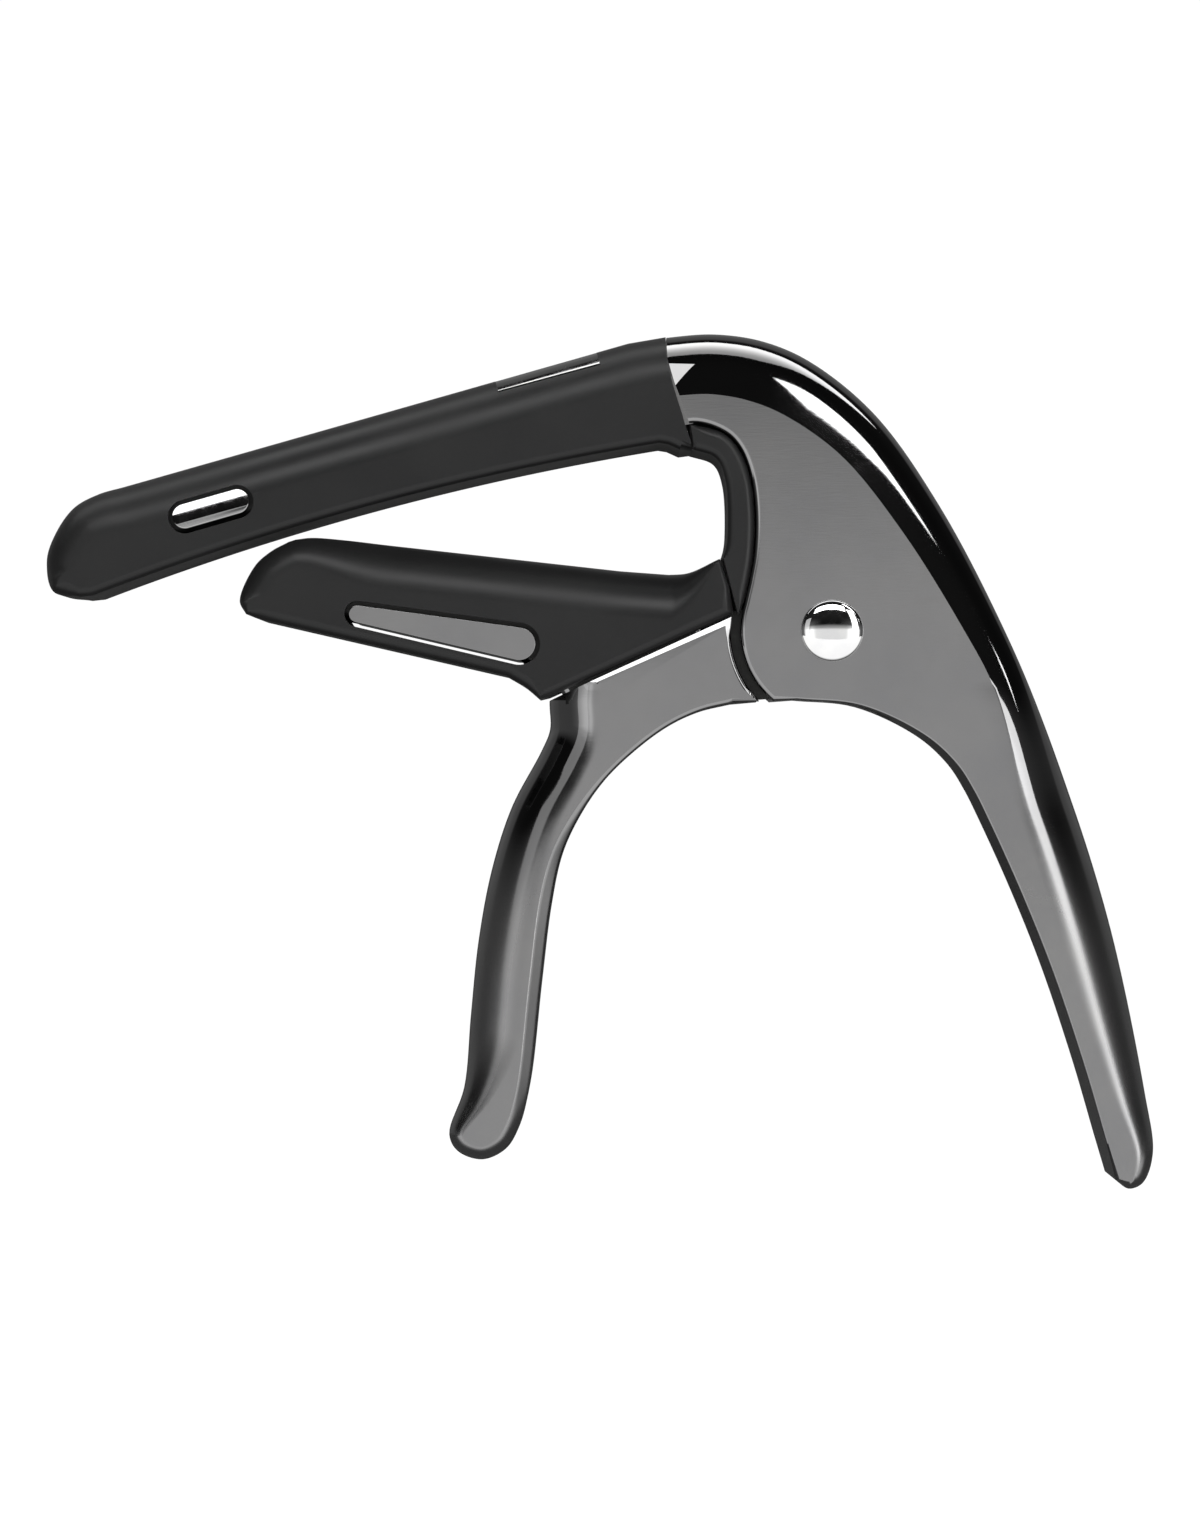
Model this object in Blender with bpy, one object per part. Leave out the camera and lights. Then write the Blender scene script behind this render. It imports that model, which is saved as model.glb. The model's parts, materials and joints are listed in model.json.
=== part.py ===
"""Spring-loaded trigger capo for a guitar neck, as an assembly of separate solids.

The row origin is the middle of the string pad's pressing face. +X runs from the tips of the jaws towards the
handles, +Y across the thickness and +Z up. Every outline lies in the XZ plane and is written in millimetres
from the pivot, because the pivot is where the frame and the lever meet. The builder turns them into metres.
"""

import math

import bmesh
import bpy

MM = 0.001

# Places and general sizes
PIVOT_FROM_PAD = (40.7, -11.15)
STRING_PAD_RADIUS = 256.0
STRING_PAD_HALF = 26.0
STRING_PAD_TILT = math.radians(15.08)
STRING_PAD_FACETS = 13

# Half thicknesses, measured from the middle plane
CHEEK_HALF = 6.5
CHEEK_INNER = 4.9
SLEEVE_HALF = 6.9
CORE_HALF = 5.3
PAD_HALF = 6.4
BOSS_HALF = 6.75
CROWN_HALF = 7.1
CROWN_NECK_HALF = 5.15
EAR_OUTER = 4.15
EAR_INNER = 2.75

# The pivot
SHANK_RADIUS = 2.0
BORE_CLEARANCE = 0.12
BORE_REACH = 9.0
RIVET_HEAD_RADIUS = 2.75
RIVET_HEAD_RISE = 1.1
RIVET_SEAT_GAP = 0.15
TENON_RADIUS = 1.2
HUB_RADIUS = 8.1
SHOULDER_RADIUS = 8.95
EAR_RADIUS = 5.8
POCKET_RADIUS = 7.4
BUSHING_RADIUS = 2.85
BUSHING_HALF = 2.5
WASHER_RADIUS = 4.4
WASHER_NEAR = 4.35
WASHER_FAR = 4.7

# The spring
WIRE_RADIUS = 0.55
COIL_RADIUS = 3.6
COIL_PITCH = 1.13
COIL_TURNS = 3
LEVER_LEG_ANGLE = math.radians(115)
FRAME_LEG_ANGLE = math.radians(90)
LEVER_LEG = 11.0
FRAME_LEG = 8.6
LEG_CLEARANCE_BELOW = 0.5
LEG_CLEARANCE_ABOVE = 0.15
LEG_CLEARANCE_END = 0.8
FRAME_SLOT_Y = (-2.6, 0.2)
LEVER_SLOT_Y = (0.9, 2.7)
COIL_STEPS_PER_TURN = 18

# Fits and edges
FIT_GAP = 0.25
WINDOW_GAP = 0.4
EDGE_BEVEL = 0.45
GRIP_BEVEL = 1.15
SLEEVE_TOP_ROUND = 3.4
SLEEVE_NOSE_ROUND = 3.0
JAW_TOP_ROUND = 3.6
JAW_TIP_ROUND = 2.4
RIDGE_INSET = 1.3
RIDGE_HALF = 3.2
HANDLE_ROUND = 3.8
SHARP_ANGLE = math.radians(28)
PROFILE_POINTS = 8
ROUND_SEGMENTS = 32


# Bosses that show through the sleeves' windows
OVAL_PLACE = -13.6
OVAL_REACH = 2.5
OVAL_RADIUS = 1.25
CROWN_PLACE = 18.3
CROWN_LENGTH = 8.8
CROWN_CORNER = 3.6
CROWN_NECK = 3.8
CROWN_FLOOR = 6.62

# ---------------------------------------------------------------- curves


def catmull_rom(points, steps):
    """A smooth curve through the points, with this many steps between two of them."""
    ends = [
        (2 * points[0][0] - points[1][0], 2 * points[0][1] - points[1][1]),
        (2 * points[-1][0] - points[-2][0], 2 * points[-1][1] - points[-2][1]),
    ]
    knots = [ends[0], *points, ends[1]]
    found = []
    for i in range(1, len(knots) - 2):
        a, b, c, d = knots[i - 1 : i + 3]
        t0, t1, t2, t3 = knot_times(a, b, c, d)
        for step in range(steps):
            t = t1 + (t2 - t1) * step / steps
            ab, bc, cd = mix(a, b, t0, t1, t), mix(b, c, t1, t2, t), mix(c, d, t2, t3, t)
            abc, bcd = mix(ab, bc, t0, t2, t), mix(bc, cd, t1, t3, t)
            found.append(mix(abc, bcd, t1, t2, t))
    found.append(points[-1])
    return found


def knot_times(a, b, c, d):
    times = [0.0]
    for first, second in ((a, b), (b, c), (c, d)):
        times.append(times[-1] + math.sqrt(math.dist(first, second)))
    return times


def mix(a, b, ta, tb, t):
    w = (t - ta) / (tb - ta)
    return (a[0] + w * (b[0] - a[0]), a[1] + w * (b[1] - a[1]))


def arc(radius, start_deg, end_deg, steps, centre=(0.0, 0.0)):
    turns = [math.radians(start_deg + (end_deg - start_deg) * i / steps) for i in range(steps + 1)]
    return [(centre[0] + radius * math.cos(t), centre[1] + radius * math.sin(t)) for t in turns]


def from_pad(along, above):
    """A point given along the string pad and above it, measured from its middle."""
    c, s = math.cos(STRING_PAD_TILT), math.sin(STRING_PAD_TILT)
    return (
        along * c - above * s - PIVOT_FROM_PAD[0],
        along * s + above * c - PIVOT_FROM_PAD[1],
    )


def string_pad_arc():
    """The arched underside that matches a fingerboard, from the nose towards the throat."""
    half = STRING_PAD_HALF / STRING_PAD_RADIUS
    turns = [half * (2 * i / STRING_PAD_FACETS - 1) for i in range(STRING_PAD_FACETS + 1)]
    return [
        from_pad(STRING_PAD_RADIUS * math.sin(t), STRING_PAD_RADIUS * (math.cos(t) - 1)) for t in turns
    ]


def ramp(value, low, high):
    """0 below low, 1 above high, and smooth between them."""
    t = min(1.0, max(0.0, (value - low) / (high - low)))
    return t * t * (3 - 2 * t)


def table(value, pairs):
    """A smooth curve of size against place through the (place, size) pairs."""
    slopes = [(b[1] - a[1]) / (b[0] - a[0]) for a, b in zip(pairs, pairs[1:])]
    tangents = [slopes[0], *((p + q) / 2 for p, q in zip(slopes, slopes[1:])), slopes[-1]]
    value = min(max(value, pairs[0][0]), pairs[-1][0])
    index = next(i for i in range(len(slopes)) if value <= pairs[i + 1][0])
    (a, size_a), (b, size_b) = pairs[index : index + 2]
    span = b - a
    t = (value - a) / span
    from_a = (1 + 2 * t) * (1 - t) ** 2 * size_a + t * (1 - t) ** 2 * span * tangents[index]
    from_b = t * t * (3 - 2 * t) * size_b + t * t * (t - 1) * span * tangents[index + 1]
    return from_a + from_b


# ---------------------------------------------------------------- edge profiles
# A profile is a list of (inset from the outline, distance from the middle plane), from the side face to the
# middle plane. Each slab vertex carries one, so an edge can change from a crisp bevel to a full round.


def round_edge(half, radius, depth=None):
    """A quarter ellipse from the side face to the outline, then straight to the middle."""
    depth = radius if depth is None else depth
    turns = [math.pi / 2 * i / (PROFILE_POINTS - 2) for i in range(PROFILE_POINTS - 1)]
    quarter = [(radius * (1 - math.sin(t)), half - depth * (1 - math.cos(t))) for t in turns]
    return quarter + [(0.0, 0.0)]


def square_edge(half):
    return [(0.0, half * (1 - i / (PROFILE_POINTS - 1))) for i in range(PROFILE_POINTS)]


def bevel_edge(half, inset, drop):
    """A straight bevel from the side face to the outline."""
    steps = PROFILE_POINTS - 2
    bevel = [(inset * (1 - i / steps), half - drop * i / steps) for i in range(steps + 1)]
    return bevel + [(0.0, 0.0)]


def blend_profiles(a, b, share):
    return [(p + (r - p) * share, q + (s - q) * share) for (p, q), (r, s) in zip(a, b)]


def spine_edge(place, length):
    """The frame's outer edge at this distance from the sleeve: round at the sleeve, then a flat cheek that ends in
    a crease above a polished slope and a narrow ridge, then the plain D section of the handle."""
    crease = table(
        place, [(0, 5.6), (10, 5.8), (25, 4.7), (40, 3.6), (52, 2.4), (62, 1.5), (80, 1.1), (length, 0.5)]
    )
    flat = table(
        place,
        [(0, 7.2), (10, 7.4), (25, 6.4), (40, 5.2), (52, 4.6), (64, 3.8), (80, 2.9), (length - 12, 2.2)]
        + [(length - 6, 1.3), (length, 1.0)],
    )
    slope = [
        (flat, CHEEK_HALF),
        (crease, CHEEK_HALF),
        ((crease + RIDGE_INSET) / 2, (CHEEK_HALF + RIDGE_HALF) / 2 + 0.25),
        (RIDGE_INSET, RIDGE_HALF),
        (RIDGE_INSET * 0.5, RIDGE_HALF * 0.87),
        (RIDGE_INSET * 0.134, RIDGE_HALF * 0.5),
        (0.0, RIDGE_HALF * 0.2),
        (0.0, 0.0),
    ]
    shoulder = [
        (flat, CHEEK_HALF),
        (crease, CHEEK_HALF),
        (SLEEVE_TOP_ROUND, CHEEK_HALF),
        (1.7, 6.0),
        (0.7, 5.2),
        (0.15, 4.0),
        (0.0, 2.9),
        (0.0, 0.0),
    ]
    turns = [0.0, 0.38, 0.54, 0.66, 0.77, 0.86, 0.94, 1.0]
    grip = [
        (flat * (1 - math.sin(t * math.pi / 2)), CHEEK_HALF * math.cos(t * math.pi / 2)) for t in turns
    ]
    cut = blend_profiles(shoulder, slope, ramp(place, 2.2, 4.2))
    return blend_profiles(cut, grip, ramp(place, 48, 62))


# ---------------------------------------------------------------- solids


def run_lengths(points):
    lengths = [0.0]
    for a, b in zip(points, points[1:]):
        lengths.append(lengths[-1] + math.dist(a, b))
    return lengths


def inward_directions(points):
    """The unit direction into a clockwise outline at each vertex, lengthened a little at a corner."""
    found = []
    for i, here in enumerate(points):
        before, after = points[i - 1], points[(i + 1) % len(points)]
        first, second = unit(before, here), unit(here, after)
        n = (first[1] + second[1], -first[0] - second[0])
        size = math.hypot(*n)
        n = (n[0] / size, n[1] / size)
        miter = max(0.6, n[0] * first[1] - n[1] * first[0])
        found.append((n[0] / miter, n[1] / miter))
    return found


def unit(a, b):
    size = math.dist(a, b)
    return ((b[0] - a[0]) / size, (b[1] - a[1]) / size)


def slab(name, outline, profiles, directions=None):
    """A solid with two flat side faces and one profile for each outline vertex. The outline runs clockwise
    seen from -Y. directions replaces the inward direction at some vertices, by index."""
    inward = inward_directions(outline)
    for index, direction in (directions or {}).items():
        inward[index] = direction
    bm = bmesh.new()
    rows = []
    for (x, z), (dx, dz), profile in zip(outline, inward, profiles):
        near = [(x + dx * inset, -y, z + dz * inset) for inset, y in profile]
        far = [(px, -py, pz) for px, py, pz in near[-2::-1]]
        rows.append([bm.verts.new([c * MM for c in p]) for p in near + far])
    for row, following in zip(rows, rows[1:] + rows[:1]):
        for j in range(len(row) - 1):
            bm.faces.new((row[j], row[j + 1], following[j + 1], following[j]))
    bm.faces.new([row[0] for row in rows])
    bm.faces.new([row[-1] for row in reversed(rows)])
    bmesh.ops.remove_doubles(bm, verts=bm.verts, dist=1e-7)
    bmesh.ops.dissolve_degenerate(bm, edges=bm.edges, dist=1e-7)
    bmesh.ops.recalc_face_normals(bm, faces=bm.faces)
    return object_from(name, bm)


def plate(name, outline, low, high):
    """The outline extruded square from y = low to y = high."""
    bm = bmesh.new()
    face = bm.faces.new([bm.verts.new((x * MM, low * MM, z * MM)) for x, z in outline])
    pushed = bmesh.ops.extrude_face_region(bm, geom=[face])
    top = [v for v in pushed["geom"] if isinstance(v, bmesh.types.BMVert)]
    bmesh.ops.translate(bm, verts=top, vec=(0, (high - low) * MM, 0))
    bmesh.ops.recalc_face_normals(bm, faces=bm.faces)
    return object_from(name, bm)


def turned(name, section):
    """A solid turned about the Y axis from (radius, y) points that run from one end to the other."""
    bm = bmesh.new()
    rings = []
    for radius, y in section:
        if radius == 0:
            rings.append([bm.verts.new((0, y * MM, 0))] * ROUND_SEGMENTS)
            continue
        turns = [2 * math.pi * i / ROUND_SEGMENTS for i in range(ROUND_SEGMENTS)]
        rings.append(
            [bm.verts.new((radius * math.cos(t) * MM, y * MM, radius * math.sin(t) * MM)) for t in turns]
        )
    closed = section[0][0] > 0
    pairs = list(zip(rings, rings[1:])) + ([(rings[-1], rings[0])] if closed else [])
    for low, high in pairs:
        for i in range(ROUND_SEGMENTS):
            j = (i + 1) % ROUND_SEGMENTS
            corners = list(dict.fromkeys((low[i], low[j], high[j], high[i])))
            bm.faces.new(corners)
    bmesh.ops.recalc_face_normals(bm, faces=bm.faces)
    return object_from(name, bm)


def object_from(name, bm):
    mesh = bpy.data.meshes.new(name)
    bm.to_mesh(mesh)
    bm.free()
    mesh.shade_smooth()
    mesh.set_sharp_from_angle(angle=SHARP_ANGLE)
    obj = bpy.data.objects.new(name, mesh)
    bpy.context.scene.collection.objects.link(obj)
    return obj


def combine(target, helper, operation, parent):
    """A Boolean with a helper that the render leaves out."""
    helper.hide_render = True
    helper.display_type = "WIRE"
    helper.parent = parent
    modifier = target.modifiers.new(f"{operation.lower()} {helper.name}", "BOOLEAN")
    modifier.operation = operation
    modifier.object = helper
    modifier.solver = "EXACT"


def hull_of_circles(a, radius_a, b, radius_b, steps=8):
    """The outline round two circles, such as a slot with round ends, clockwise seen from -Y."""
    heading = math.degrees(math.atan2(b[1] - a[1], b[0] - a[0]))
    lean = math.degrees(math.asin((radius_b - radius_a) / math.dist(a, b)))
    left = arc(radius_a, heading + 270 - lean, heading + 90 + lean, steps, a)
    right = arc(radius_b, heading + 90 + lean, heading - 90 - lean, steps, b)
    return left + right


def widened(outline, gap):
    """The outline moved outwards by the gap."""
    return [(x - dx * gap, z - dz * gap) for (x, z), (dx, dz) in zip(outline, inward_directions(outline))]


# ---------------------------------------------------------------- outlines


def seam_direction():
    """The unit direction down the end face where the upper sleeve meets the frame."""
    return unit((-14.2, 26.38), (-12.3, 18.45))


def frame_runs():
    """The frame's outline beyond the sleeve, clockwise from the top of the seam."""
    spine = catmull_rom(
        [
            (-14.2, 26.38),
            (-10.2, 26.64),
            (-5.9, 26.0),
            (-1.7, 24.16),
            (3.98, 19.47),
            (9.65, 11.42),
            (15.31, 0.53),
            (20.97, -13.1),
            (25.2, -26.7),
            (28.05, -41.1),
            (28.65, -46.4),
            (27.7, -49.0),
            (26.4, -49.5),
            (25.2, -48.7),
        ],
        4,
    )
    inside = catmull_rom(
        [
            (24.3, -45.4),
            (22.4, -38.85),
            (19.56, -30.3),
            (16.73, -23.2),
            (13.89, -16.9),
            (12.48, -14.07),
            (11.0, -11.8),
            (8.23, -9.29),
            (2.57, -6.64),
            (-3.1, -6.05),
        ],
        2,
    )
    hub = arc(HUB_RADIUS, 230, 163, 12)
    throat = catmull_rom(
        [
            (-7.3, 4.3),
            (-6.85, 6.9),
            (-6.75, 10.53),
            (-7.15, 13.72),
            (-8.1, 16.2),
            (-9.45, 17.6),
            (-12.3, 18.45),
        ],
        3,
    )
    return spine, inside, hub, throat


def sleeve_outline():
    """The upper sleeve, clockwise from the pad's throat end: the underside, the nose, the top and the lip."""
    underside = string_pad_arc()[::-1]
    nose = catmull_rom(
        [
            (-66.6, 3.0),
            (-69.05, 3.5),
            (-69.75, 6.2),
            (-69.1, 8.5),
            (-67.4, 11.0),
            (-65.2, 12.25),
            (-63.0, 12.9),
        ],
        3,
    )
    top = [(-18.0, 25.7), (-14.5, 26.3)]
    lip = [(-12.45, 16.02), (-13.45, 16.02), (-14.5, 16.5)]
    return underside, nose, top, lip


def jaw_outline():
    """The lower sleeve, clockwise from the throat end of its seam with the lever."""
    bottom = [(-25.04, -5.84)] + catmull_rom([(-25.9, -6.05), (-27.2, -4.96), (-28.8, -4.0)], 3)
    belly = [(-50.6, 1.0)]
    tip = catmull_rom([(-51.9, 1.5), (-52.5, 2.7), (-51.24, 5.75), (-49.8, 7.08), (-48.2, 7.95)], 3)
    land = [(-46.2, 8.32), (-43.4, 8.19), (-18.7, 5.4)]
    rise = catmull_rom([(-14.4, 5.08), (-12.6, 5.2), (-10.15, 6.3)], 3)
    throat_side = [(-9.4, 3.9), (-8.8, 1.6)]
    return bottom, belly, tip, land, rise, throat_side


def lever_runs():
    """The lever's full-depth part, clockwise from the shoulder corner: saddle, handle and seam."""
    grip = catmull_rom(
        [
            (-8.8, -6.42),
            (-11.6, -7.1),
            (-14.4, -8.4),
            (-17.3, -10.5),
            (-20.1, -13.2),
            (-22.3, -16.4),
            (-23.9, -19.9),
            (-24.9, -24.5),
            (-25.75, -31.3),
            (-26.8, -40.5),
            (-27.7, -44.0),
            (-28.9, -46.0),
            (-31.0, -46.95),
            (-33.2, -46.2),
            (-33.95, -44.7),
            (-32.65, -40.6),
            (-32.1, -34.4),
            (-31.4, -27.6),
            (-30.2, -21.2),
            (-28.4, -15.6),
            (-25.75, -10.6),
            (-24.98, -8.7),
            (-25.02, -6.15),
        ],
        3,
    )
    hub = arc(SHOULDER_RADIUS, 172, 224, 10)
    return grip, hub


# ---------------------------------------------------------------- metal parts


def frame_body():
    spine, inside, hub, throat = frame_runs()
    places = run_lengths(spine)
    profiles = [spine_edge(place, places[-1]) for place in places]
    fine = bevel_edge(CHEEK_HALF, EDGE_BEVEL, EDGE_BEVEL)
    profiles += [fine] * (len(inside) + len(hub) + len(throat) - 1)
    profiles.append(square_edge(CHEEK_HALF))
    return slab("main_frame", spine + inside + hub + throat, profiles, {0: seam_direction()})


def arm_core(name, gap, far_end):
    """The bar inside the upper sleeve, or the cavity round it when gap is positive."""
    low, high = 2.1 - gap, 6.2 + gap
    outline = [
        from_pad(-25.5 - gap, low + 0.6),
        from_pad(-25.0 - gap, high - 1.2),
        from_pad(-23.8 - gap, high - 0.05),
        from_pad(far_end, high + 0.3),
        from_pad(far_end, low),
        from_pad(-24.6 - gap, low - 0.5),
    ]
    profile = round_edge(CORE_HALF + gap, 1.0)
    return slab(name, outline, [profile] * len(outline))


def side_boss(name, gap, half):
    """The oval boss on both sides of the arm, or its window in the sleeve."""
    ends = [from_pad(OVAL_PLACE - OVAL_REACH, 3.35), from_pad(OVAL_PLACE + OVAL_REACH, 3.45)]
    radius = OVAL_RADIUS + gap
    return plate(name, hull_of_circles(ends[0], radius, ends[1], radius), -half, half)


def crown_plan(gap):
    """The crown window seen along its own height: (along the arm, across it) from its middle."""
    corner = CROWN_CORNER + gap
    x, y = CROWN_LENGTH / 2 + gap - corner, CROWN_HALF + gap - corner
    outline = []
    for quarter, centre in enumerate([(x, y), (-x, y), (-x, -y), (x, -y)]):
        outline += arc(corner, 90 * quarter, 90 * quarter + 90, 4, centre)
    return outline


def crown_prism(name, gap, low, high):
    """A prism over the crown's plan that stands square to the string pad, from low to high above it."""
    bm = bmesh.new()
    plan = crown_plan(gap)
    rings = []
    for above in (low, high):
        ring = [from_pad(CROWN_PLACE + along, above) for along, y in plan]
        rings.append([bm.verts.new((x * MM, y * MM, z * MM)) for (x, z), (along, y) in zip(ring, plan)])
    for i in range(len(plan)):
        j = (i + 1) % len(plan)
        bm.faces.new((rings[0][i], rings[0][j], rings[1][j], rings[1][i]))
    bm.faces.new(rings[0][::-1])
    bm.faces.new(rings[1])
    bmesh.ops.recalc_face_normals(bm, faces=bm.faces)
    return object_from(name, bm)


def crown_boss(parent):
    """The raised land on top of the arm that fills the sleeve's crown window."""
    outline = [from_pad(10.0, 1.5), from_pad(10.0, 7.78), from_pad(26.5, 8.0), from_pad(26.5, 1.5)]
    top, square = round_edge(SLEEVE_HALF - 0.1, SLEEVE_TOP_ROUND), square_edge(SLEEVE_HALF - 0.1)
    up = (math.sin(STRING_PAD_TILT), -math.cos(STRING_PAD_TILT))
    land = slab("crown_boss_form", outline, [square, top, top, square], {1: up, 2: up})
    combine(land, crown_prism("crown_plan_form", 0.0, CROWN_FLOOR, 9.5), "INTERSECT", parent)
    return land


def crown_neck():
    """The foot under the crown boss, which joins it to the arm."""
    near, far = CROWN_PLACE - CROWN_NECK, CROWN_PLACE + CROWN_NECK
    outline = [from_pad(near, 5.0), from_pad(near, 7.2), from_pad(far, 7.2), from_pad(far, 5.0)]
    return plate("crown_neck_form", outline, -CROWN_NECK_HALF, CROWN_NECK_HALF)


def pocket():
    """The room between the cheeks for the hub and the coil, open at the underside and towards the lever."""
    upper = arc(POCKET_RADIUS, 166, 38, 12)
    lower = arc(POCKET_RADIUS, 15, -50, 7)
    mouth = [(4.0, -9.5), (-9.5, -9.5), (-9.5, 2.37)]
    return plate("pocket_cutter", upper + lower + mouth, -CHEEK_INNER, CHEEK_INNER)


def frame_leg_slot():
    """The slot that the frame's leg of the spring lies in."""
    floor = COIL_RADIUS - WIRE_RADIUS - LEG_CLEARANCE_BELOW
    roof = COIL_RADIUS + WIRE_RADIUS + LEG_CLEARANCE_ABOVE
    end = FRAME_LEG + LEG_CLEARANCE_END
    outline = [(5.0, floor), (5.0, roof), (end, roof), (end, floor)]
    return plate("frame_leg_slot_cutter", outline, *FRAME_SLOT_Y)


def make_frame(parent):
    frame = frame_body()
    combine(frame, arm_core("arm_core_form", 0.0, 31.0), "UNION", parent)
    combine(frame, side_boss("side_boss_form", 0.0, BOSS_HALF), "UNION", parent)
    combine(frame, crown_neck(), "UNION", parent)
    combine(frame, crown_boss(parent), "UNION", parent)
    combine(frame, pocket(), "DIFFERENCE", parent)
    combine(frame, frame_leg_slot(), "DIFFERENCE", parent)
    combine(frame, rivet_bore("frame_bore_cutter"), "DIFFERENCE", parent)
    return frame


def rivet_bore(name):
    """A rod through the whole thickness that cuts the rivet's hole."""
    radius = SHANK_RADIUS + BORE_CLEARANCE
    return turned(name, [(0, -BORE_REACH), (radius, -BORE_REACH), (radius, BORE_REACH), (0, BORE_REACH)])


def jaw_core(name, gap):
    """The bar inside the lower sleeve, or the cavity round it when gap is positive."""
    outline = [
        (-22.4, -8.0),
        (-24.3, -4.9),
        (-27.6, -2.6),
        (-46.2, 1.75),
        (-48.6, 2.1),
        (-49.3, 3.2),
        (-48.2, 5.2),
        (-46.4, 6.2),
        (-43.4, 6.2),
        (-18.7, 3.4),
        (-12.4, 2.8),
        (-11.2, 0.9),
        (-10.9, -2.6),
    ]
    outline = widened(outline, gap)
    return slab(name, outline, [round_edge(CORE_HALF + gap, 0.9)] * len(outline))


def wedge_boss(name, gap, half):
    """The tapered boss on both sides of the lower jaw, or its window in the sleeve."""
    outline = hull_of_circles((-42.0, 1.5), 0.75 + gap, (-27.7, -1.15), 1.45 + gap)
    return plate(name, outline, -half, half)


def ears(name):
    """Both hub plates as one block, before the room between them is cut out."""
    round_part = arc(EAR_RADIUS, 150, -85, 16)
    neck = [(-2.0, -5.7), (-6.4, -6.0), (-9.6, -4.0), (-9.6, 0.6), (-6.9, 1.2)]
    return plate(name, round_part + neck, -EAR_OUTER, EAR_OUTER)


def make_lever(parent):
    grip, hub = lever_runs()
    grip_places = run_lengths(grip)
    profiles = [lever_edge(place, grip_places[-1]) for place in grip_places]
    fine = bevel_edge(CHEEK_HALF, EDGE_BEVEL, EDGE_BEVEL)
    profiles += [fine] * len(hub)
    lever = slab("lever", grip + hub, profiles)
    combine(lever, jaw_core("jaw_core_form", 0.0), "UNION", parent)
    combine(lever, wedge_boss("wedge_boss_form", 0.0, BOSS_HALF), "UNION", parent)
    combine(lever, ears("ears_form"), "UNION", parent)
    room = [(-8.3, -8.0), (-8.3, 3.0), (-6.0, 8.0), (8.0, 8.0), (8.0, -8.0)]
    combine(lever, plate("coil_room_cutter", room, -EAR_INNER, EAR_INNER), "DIFFERENCE", parent)
    slot = [(-12.6, -2.9), (-12.6, -1.25), (-8.0, 1.0), (-7.5, 1.3), (-7.5, -2.9)]
    combine(lever, plate("lever_leg_slot_cutter", slot, *LEVER_SLOT_Y), "DIFFERENCE", parent)
    combine(lever, rivet_bore("lever_bore_cutter"), "DIFFERENCE", parent)
    return lever


def lever_edge(place, length):
    """A broad bevel down the inside of the handle, a blunt tip, and a full round over its outside that ends in
    a crisp edge under the sleeve."""
    fine = bevel_edge(CHEEK_HALF, EDGE_BEVEL, EDGE_BEVEL)
    broad = bevel_edge(CHEEK_HALF, GRIP_BEVEL, 1.0)
    tip = round_edge(CHEEK_HALF, 1.3, 2.6)
    grip = round_edge(CHEEK_HALF, HANDLE_ROUND, CHEEK_HALF)
    inside = blend_profiles(fine, broad, ramp(place, 12, 26))
    end = blend_profiles(inside, tip, ramp(place, 42, 48))
    outside = blend_profiles(end, grip, ramp(place, 52, 60))
    return blend_profiles(outside, fine, ramp(place, length - 12, length - 3))


# ---------------------------------------------------------------- soft parts


def make_upper_sleeve(parent):
    underside, nose, top, lip = sleeve_outline()
    outline = underside + nose + top + lip
    low = round_edge(SLEEVE_HALF, 0.8)
    high = round_edge(SLEEVE_HALF, SLEEVE_TOP_ROUND)
    front = round_edge(SLEEVE_HALF, SLEEVE_NOSE_ROUND)
    nose_edges = [blend_profiles(low, front, i / 6) for i in range(6)]
    nose_edges += [blend_profiles(front, high, i / 12) for i in range(13)]
    profiles = [low] * len(underside) + nose_edges + [high] * 2 + [square_edge(SLEEVE_HALF)]
    profiles += [low] * 2
    corner = len(underside) + len(nose) + 1
    sleeve = slab("upper_sleeve", outline, profiles, {corner: seam_direction()})
    combine(sleeve, arm_core("sleeve_cavity_cutter", FIT_GAP, 34.0), "DIFFERENCE", parent)
    window = side_boss("side_window_cutter", WINDOW_GAP, SLEEVE_HALF + 1)
    combine(sleeve, window, "DIFFERENCE", parent)
    crown = crown_prism("crown_window_cutter", FIT_GAP, CROWN_FLOOR - FIT_GAP, 9.5)
    combine(sleeve, crown, "DIFFERENCE", parent)
    return sleeve


def make_lower_sleeve(parent):
    bottom, belly, tip, land, rise, throat_side = jaw_outline()
    outline = bottom + belly + tip + land + rise + throat_side
    low = round_edge(SLEEVE_HALF, 1.0)
    high = round_edge(SLEEVE_HALF, JAW_TOP_ROUND)
    front = round_edge(SLEEVE_HALF, JAW_TIP_ROUND)
    end = round_edge(SLEEVE_HALF, 0.5)
    profiles = [square_edge(SLEEVE_HALF)] + [low] * (len(bottom) - 1) + [low] * len(belly)
    profiles += [blend_profiles(low, front, i / 6) for i in range(6)]
    profiles += [blend_profiles(front, high, i / 6) for i in range(7)]
    profiles += [high] * len(land)
    profiles += [blend_profiles(high, end, ramp(i, 0, len(rise) - 1)) for i in range(len(rise))]
    profiles += [end, square_edge(SLEEVE_HALF)]
    sleeve = slab("lower_sleeve", outline, profiles)
    combine(sleeve, jaw_core("jaw_cavity_cutter", FIT_GAP), "DIFFERENCE", parent)
    window = wedge_boss("wedge_window_cutter", WINDOW_GAP, SLEEVE_HALF + 1)
    combine(sleeve, window, "DIFFERENCE", parent)
    return sleeve


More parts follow.
